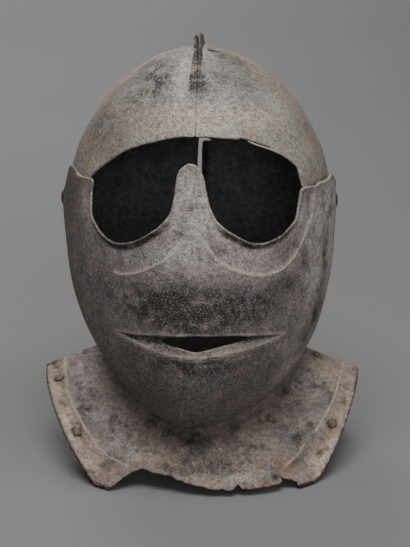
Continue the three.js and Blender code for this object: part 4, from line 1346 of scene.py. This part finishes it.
# %% Make the two halves
SKULL_STEP = 0.0016
for side, name in ((-1, "skull_left"), (1, "skull_right")):
    surface = skull_at(side)
    skull_turns = even_steps(surface, 75.0, -1.2, 181.2, SKULL_STEP, "turn")
    skull_polars = even_steps(surface, 90.0, 0.0, LOWER_NAPE + 2, SKULL_STEP, "row")
    half = iron_plate(name + "_shell", surface, skull_turns, skull_polars, skull_outline(side),
                      SKULL_WALL, skull_shape(side), at_seam)
    join_mesh(half, comb_edge(side))
    if side > 0:
        join_mesh(half, brow_sliver())
    finish_piece(half, SKULL_IRON, "skull_iron", "skull", name)

# %% [markdown]
# ## The collar plates
# The front plate hangs under the mask and flares over the chest. Its edge is turned round and
# filed into a rope, and across the front it has rusted away to a ragged line. The rear plate
# is hidden in the photo, so it follows the front one plainly.

# %% Outlines and relief of the collar
BROKEN_EDGE = table(
    "turn row",
    (-31.2, 4.3), (-31.2, 3.35), (-29.4, 3.0), (-26.6, 2.68), (-22.2, 2.42), (-16.5, 2.44),
    (-10.2, 2.5), (-5, 2.66), (0.6, 2.8), (6, 2.9), (10.5, 2.94), (13.4, 2.94), (15.4, 2.83),
    (16.4, 2.83), (17.4, 2.94), (21, 2.95), (26, 2.95), (30.6, 2.95), (32.6, 2.9), (33.4, 2.77),
    (35, 2.85), (37.2, 2.94), (38.4, 3.35), (38.6, 4.3),
)
COLLAR_END = 87
REAR_END = 97
ROLL_END = COLLAR_LAST + 1.0
BORDER_LEFT = table(
    "turn row",
    (-87, 2.48), (-73.3, 2.5), (-66.2, 2.53), (-56.6, 2.52), (-45, 2.45), (-37.7, 2.38),
    (-28.3, 2.42),
)
BORDER_RIGHT = table("turn row", (87, 2.6), (75, 2.55), (68, 2.54), (62.2, 2.48), (56, 2.42))
BORDER_LOWER = table("turn row", (49, 2.34), (42.4, 2.43), (37.1, 2.53))
COLLAR_RUST = table(
    "turn row wide tall amount",
    (32.9, 2.37, 5, 0.2, 1.2), (36, 2.6, 6, 0.2, 0.9), (23.7, 2.9, 6, 0.2, 1.0),
    (-40, 2.75, 14, 0.12, 0.7), (8, 2.75, 12, 0.15, 0.6), (15.8, 2.4, 4, 0.15, 0.7),
    (58, 2.75, 6, 0.2, 0.6), (-80, 2.7, 6, 0.25, 0.5), (-27, 1.5, 4, 0.2, 0.7),
)
COLLAR_TAN = table(
    "turn row wide tall amount",
    (-70, 2.85, 20, 0.25, 0.65), (-45, 2.85, 15, 0.3, 0.65), (65, 2.9, 20, 0.25, 0.8),
    (82, 2.3, 8, 0.6, 0.75), (-84, 2.5, 5, 0.5, 0.8), (48, 2.9, 10, 0.25, 0.8),
    (-20, 2.1, 12, 0.3, 0.5),
)
COLLAR_STAINS = table(
    "turn row wide tall amount",
    (6, 2.15, 24, 0.25, 0.6), (-30, 1.7, 12, 0.3, 0.5), (-60, 2.35, 8, 0.2, 0.6),
    (52, 1.9, 10, 0.3, 0.4), (-80, 2.2, 8, 0.4, 0.4), (30, 2.7, 6, 0.15, 0.6),
    (-82, 2.75, 5, 0.14, 0.8), (-63, 2.8, 4, 0.12, 0.7), (56, 2.7, 5, 0.14, 0.6),
    (72, 2.8, 4, 0.12, 0.6), (4, 2.4, 24, 0.16, 0.35),
)
COLLAR_COLD = table(
    "turn row wide tall amount",
    (-60, 2.0, 12, 0.3, 0.7), (45, 2.0, 12, 0.4, 0.6), (65, 2.3, 8, 0.3, 0.6),
    (-40, 2.2, 10, 0.3, 0.5),
)
COLLAR_LIGHT = table(
    "turn row wide tall amount",
    (-78, 2.0, 14, 0.5, 0.7), (-45, 1.9, 16, 0.5, 0.5), (14, 2.65, 14, 0.2, 0.7),
    (30, 2.1, 12, 0.3, 0.5), (75, 1.8, 12, 0.5, 0.6), (-28, 2.0, 10, 0.2, 0.6),
)
BORDER_RIVETS = table(
    "turn row",
    (-74.5, 2.7), (-52.3, 2.74), (61.5, 2.74), (83.8, 1.8), (-27.4, 1.34), (42.4, 1.51),
)
ROPE_PITCH = 2.6
ROPE_LEAN = 0.9
ROPE_CALM = 0.8
COLLAR_RING = (63.5, 1.55)
COLLAR_RING_RADIUS = 2.7 * MM
HEAD_RING = 3.4 * MM
COLLAR_WEAR = table("height size seed sunk", (0.3, 5, 51, 0), (0.2, 2, 52, 0))
COLLAR_HAMMER = table("height size seed sunk", (0.7, 24, 61, 0.4), (0.3, 10, 62, 0), (0.12, 4, 63, 0))
REAR_WEAR = table("height size seed sunk", (0.2, 5, 53, 0))
REAR_HAMMER = table("height size seed sunk", (0.4, 24, 64, 0.6), (0.2, 10, 65, 0))
print("border rivets", len(BORDER_RIVETS["turn"]))


def box_outline(low, high, first, last):
    return np.array([(low, first), (high, first), (high, last), (low, last)], float)


def collar_outline(turn, row, points):
    sheet = box_outline(-COLLAR_END, COLLAR_END, 0, ROLL_END)
    kept = depth_inside(collar_at, turn, row, points, sheet, 120)
    broken = refined(traced(BROKEN_EDGE, 5), 2)
    jitter = np.random.default_rng(7).standard_normal(len(broken))
    broken[:, 1] += 0.012 * jitter + 0.02 * np.convolve(jitter, np.ones(5) / 5, "same")
    broken = np.concatenate([broken, [[38.6, 5], [-31.2, 5]]])
    kept = np.minimum(kept, -depth_inside(collar_at, turn, row, points, broken))
    return kept + uneven(points, COLLAR_WEAR)


def roped(relief, turn, row, depth, low, high):
    """Files the turned edge into a rope."""
    on_roll = smooth_step(row, COLLAR_LAST - 0.1, COLLAR_LAST + 0.05)
    rope = np.sin(2 * np.pi * (turn / ROPE_PITCH + (row - COLLAR_LAST) * ROPE_LEAN))
    return relief * (1 - ROPE_CALM * on_roll) - depth * on_roll * smooth_step(rope, low, high)


def collar_shape(turn, row, points, kept):
    borders = (BORDER_LEFT, BORDER_RIGHT, BORDER_LOWER)
    lines = np.min([from_line(collar_at, border, points) for border in borders], axis=0)
    ring = distance_to(points, ring_line(collar_at, *COLLAR_RING, COLLAR_RING_RADIUS))
    relief = uneven(points, COLLAR_HAMMER)
    relief += 0.6 * MM * ridge(lines, 0.8 * MM) - 0.35 * MM * ridge(ring, 0.7 * MM)
    heads = np.zeros(turn.shape)
    for rivet_turn, rivet_row in zip(*BORDER_RIVETS.values()):
        away = np.linalg.norm(points - collar_at(rivet_turn, rivet_row), axis=-1)
        heads += ridge(away - HEAD_RING, 1.5 * MM)
    # painted shadow of the chin on the collar below it
    chin_shadow = ridge(turn - 1, 10) * (1 - smooth_step(row, 1.8, 2.3))
    blotch = smooth_step(lumps(points, 9 * MM, 67) + 0.5 * lumps(points, 4 * MM, 68), 0.15, 0.8)
    relief = roped(relief, turn, row, 0.55 * MM, 0.1, 0.9)
    turned = smooth_step(row, COLLAR_LAST + 0.05, COLLAR_LAST + 0.3)
    stain = 1.1 * turned + 0.9 * heads + 0.7 * chin_shadow + 0.7 * blotch
    masks = {
        "edge": kept,
        "line": np.maximum(0.8 * ridge(lines, 0.8 * MM), 0.9 * ridge(ring, 0.8 * MM)),
        "stain": stain + spots(turn, row, COLLAR_STAINS),
        "cold": spots(turn, row, COLLAR_COLD),
        "light": spots(turn, row, COLLAR_LIGHT),
        "tan": spots(turn, row, COLLAR_TAN),
        "rust": spots(turn, row, COLLAR_RUST),
    }
    return relief, masks


def rear_outline(turn, row, points):
    sheet = box_outline(REAR_END, 360 - REAR_END, 0, ROLL_END)
    kept = depth_inside(rear_at, turn, row, points, sheet, 120)
    return kept + uneven(points, REAR_WEAR)


def rear_shape(turn, row, points, kept):
    relief = roped(uneven(points, REAR_HAMMER), turn, row, 0.35 * MM, 0.3, 1.0)
    masks = {
        "edge": kept,
        "line": np.zeros(turn.shape),
        "stain": 0.6 * smooth_step(row, COLLAR_LAST + 0.3, COLLAR_LAST + 0.6),
        "cold": np.full(turn.shape, 0.4),
        "light": np.full(turn.shape, 0.3),
        "tan": 0.9 * smooth_step(row, 2.5, 3.0),
        "rust": 0.5 * smooth_step(lumps(points, 30 * MM, 66), 0.0, 0.6),
    }
    return relief, masks


# %% Make the collar plates
COLLAR_STEP = 0.0012
REAR_STEP = 0.0017
collar_turns = even_steps(collar_at, 2.8, -COLLAR_END - 2, COLLAR_END + 2, COLLAR_STEP, "turn")
collar_rows = even_steps(collar_at, 60.0, -0.15, ROLL_END + 0.1, COLLAR_STEP, "row")
front_collar = iron_plate("front_collar", collar_at, collar_turns, collar_rows, collar_outline,
                          COLLAR_WALL, collar_shape)
finish_piece(front_collar, COLLAR_IRON, "collar_iron", "visor", "gorget_front")
rear_turns = even_steps(rear_at, 2.8, REAR_END - 2, 362 - REAR_END, REAR_STEP, "turn")
rear_rows = even_steps(rear_at, 180.0, -0.08, ROLL_END + 0.1, REAR_STEP, "row")
rear_collar = iron_plate("rear_collar", rear_at, rear_turns, rear_rows, rear_outline,
                         COLLAR_WALL, rear_shape)
finish_piece(rear_collar, COLLAR_IRON, "collar_iron", "skull", "gorget_rear")

# %% [markdown]
# ## Rivets
# Iron pins with hand-hammered heads. A lathe shape gives the dome, shank and burr, and a few
# flats knocked into the dome keep it from looking turned.


# %% Make the rivets
HEAD_LIFT = 0.08
RIVET_SHANK = 0.0013
PIVOT_SHANK = 0.0026
BURR = 0.0009
DOME_SHARE = 0.5
RIVET_SIDES = 28


HEAD_PROFILE = ((0.96, 0), (1, 0.12), (0.97, 0.35), (0.86, 0.62), (0.66, 0.83), (0.4, 0.95),
                (0.18, 0.99), (0, 1))
FLATS = 4
FLAT_BITE = 0.8


def hammered_flats(seed):
    """The directions and heights at which the hammer has flattened a head."""
    random = np.random.default_rng(seed)
    flats = []
    for _ in range(FLATS):
        direction = Vector(random.normal(0, 1, 3) * [1, 1, 0.3] + [0, 0, 1]).normalized()
        flats.append((direction, 0.9 + 0.08 * random.random()))
    return flats


def rivet(name, place, axis, head, dome, shank, grip, seed, rusty=1.0):
    burr = shank + BURR
    profile = [(0, -grip - MM), (burr, -grip - MM), (burr, -grip), (shank, -grip), (shank, 0)]
    profile += [(head * radius, dome * rise) for radius, rise in HEAD_PROFILE]
    turn_to = Vector((0, 0, 1)).rotation_difference(Vector(axis))
    flats = hammered_flats(seed)
    body = bmesh.new()
    rings = []
    for radius, height in profile:
        ring = []
        for k in range(RIVET_SIDES if radius else 1):
            angle = 2 * math.pi * k / RIVET_SIDES
            point = Vector((radius * math.cos(angle), radius * math.sin(angle), height))
            for direction, limit in flats if height > 0 else ():
                over = point.dot(direction) - limit * (dome + (head - dome) * (1 - direction.z))
                point -= direction * max(over, 0) * FLAT_BITE
            ring.append(body.verts.new(turn_to @ point + Vector(place)))
        rings.append(ring)
    for here, there in zip(rings[:-1], rings[1:]):
        for k in range(RIVET_SIDES):
            m = (k + 1) % RIVET_SIDES
            near = [here[k % len(here)], here[m % len(here)]]
            far = [there[m % len(there)], there[k % len(there)]]
            body.faces.new(list(dict.fromkeys(near + far)))
    mesh = closed_mesh(name, body, True, edge=FAR_FROM_EDGE, line=0.0, stain=0.35, cold=0.2,
                       light=0.0, tan=rusty * 0.25, rust=rusty * 0.25)
    return linked(name, mesh)


def seated_rivet(node, surface, turn, row, head, thickness, body_name, seed):
    axis = surface_normal(surface, turn, row)
    lift = FIT_GAP + HEAD_LIFT * head
    place = surface(np.float64(turn), np.float64(row)) + axis * lift
    piece = rivet(node + "_head", place, axis, head, head * DOME_SHARE, RIVET_SHANK,
                  thickness + 2 * lift, seed)
    finish_piece(piece, RIVET_IRON, "rivet_iron", body_name, node)


# %% [markdown]
# The border rivets probably held the edge of a lining. The collar and nape rivets join the
# collar plates to the mask and the skull, and the two pivots at the temples carry the mask.

# %% Set the rivets
COLLAR_RIVET_ROW = 8.55
NAPE_RIVET_ROW = 0.25
COLLAR_GRIP = FACE_WALL + COLLAR_WALL + FIT_GAP
NAPE_GRIP = SKULL_WALL + COLLAR_WALL + 2 * FIT_GAP
FRONT_RIVETS = ("border_rivet_left_upper", "border_rivet_left_lower", "border_rivet_right_lower",
                "border_rivet_right_upper", "field_rivet_left", "field_rivet_right")
for seed, (node, turn, row) in enumerate(zip(FRONT_RIVETS, *BORDER_RIVETS.values())):
    head = RIVET_HEAD if seed < 3 else SMALL_RIVET_HEAD
    seated_rivet(node, collar_sheet, turn, row, head, COLLAR_WALL, "visor", seed)
for seed, (node, turn) in enumerate((("collar_rivet_left", -72), ("collar_rivet_right", 72))):
    seated_rivet(node, face_at, turn, COLLAR_RIVET_ROW, SMALL_RIVET_HEAD, COLLAR_GRIP, "visor",
                 20 + seed)
for seed, (node, turn) in enumerate((("nape_rivet_left", 222), ("nape_rivet_right", 138))):
    seated_rivet(node, rear_sheet, turn, NAPE_RIVET_ROW, SMALL_RIVET_HEAD, NAPE_GRIP, "skull",
                 30 + seed)
for side, node in ((-1, "pivot_left"), (1, "pivot_right")):
    place = SHIFT + [side * (FACE_HALF_WIDTH + FIT_GAP), -PIVOT_BACK, TEMPLE_HEIGHT]
    grip = FACE_WALL + TEMPLE_GAP + SKULL_WALL + PIVOT_SLACK
    piece = rivet(node + "_head", place, (side, 0, 0), PIVOT_HEAD, PIVOT_DOME, PIVOT_SHANK, grip,
                  40 + side, rusty=0.0)
    finish_piece(piece, FACE_IRON, "rivet_iron", "skull", node)
print("rivets made")

# %% [markdown]
# ## Floor, light and camera
# A pale sweep of paper and one large soft light above the front give the gentle, even shade
# of the photo. The camera looks down a little from the front.

# %% The sweep
SWEEP_PROFILE = ((-2.5, 0.0), (1.4, 0.0), (1.8, 0.06), (2.05, 0.25), (2.15, 0.6), (2.15, 2.6))
sweep_mesh = bpy.data.meshes.new("paper_sweep")
corners = [(x, y, z) for y, z in SWEEP_PROFILE for x in (-3.0, 3.0)]
strips = [(2 * k, 2 * k + 1, 2 * k + 3, 2 * k + 2) for k in range(len(SWEEP_PROFILE) - 1)]
sweep_mesh.from_pydata(corners, [], strips)
sweep = linked("paper_sweep", sweep_mesh)
for face in sweep_mesh.polygons:
    face.use_smooth = True
paper = bpy.data.materials.new("paper")
paper.use_nodes = True
tree = paper.node_tree
paper_place = add_node(tree, "ShaderNodeTexCoord").outputs["Object"]
fibre = noise(tree, paper_place, 600.0, 3.0)
paper_colour = blend(tree, fibre, (0.15, 0.148, 0.145, 1), (0.178, 0.175, 0.172, 1))
tree.links.new(paper_colour, tree.nodes["Principled BSDF"].inputs["Base Color"])
tree.nodes["Principled BSDF"].inputs["Roughness"].default_value = 0.9
sweep_mesh.materials.append(paper)
print("the sweep has", len(strips), "strips")


# %% Lights
def soft_light(name, place, aim, size, power):
    lamp = bpy.data.lights.new(name, "AREA")
    lamp.shape = "DISK"
    lamp.size = size
    lamp.energy = power
    holder = linked(name, lamp)
    holder.location = place
    holder.rotation_euler = (Vector(aim) - Vector(place)).to_track_quat("-Z", "Y").to_euler()
    print(name, power, "W")


soft_light("overhead", (0.0, -0.62, 1.6), (0, -0.05, 0.15), 1.2, 29)
soft_light("front_fill", (0.2, -2.2, 0.75), (0, 0, 0.12), 1.0, 11)
soft_light("right_fill", (2.0, -0.7, 1.0), (0, 0, 0.15), 0.8, 9)
soft_light("back_wall", (-0.5, 1.35, 1.4), (-0.4, 1.6, 0.0), 0.8, 21)
world = bpy.data.worlds.new("room")
world.use_nodes = True
world.node_tree.nodes["Background"].inputs["Color"].default_value = (0.8, 0.82, 0.85, 1)
world.node_tree.nodes["Background"].inputs["Strength"].default_value = 0.22
bpy.context.scene.world = world

# %% Camera
AZIMUTH, ELEVATION = math.radians(2), math.radians(16)
CAMERA_DISTANCE = 1.3
AIM = Vector((0.0019, 0.00175, 0.130))
lens = bpy.data.cameras.new("camera")
lens.lens = 113
lens.sensor_width = 36
camera = linked("camera", lens)
level = Vector((math.sin(AZIMUTH), -math.cos(AZIMUTH), 0))
backwards = level * math.cos(ELEVATION) + Vector((0, 0, math.sin(ELEVATION)))
camera.location = AIM + backwards * CAMERA_DISTANCE
camera.rotation_euler = backwards.to_track_quat("Z", "Y").to_euler()
bpy.context.scene.camera = camera
print("camera at", list(camera.location))
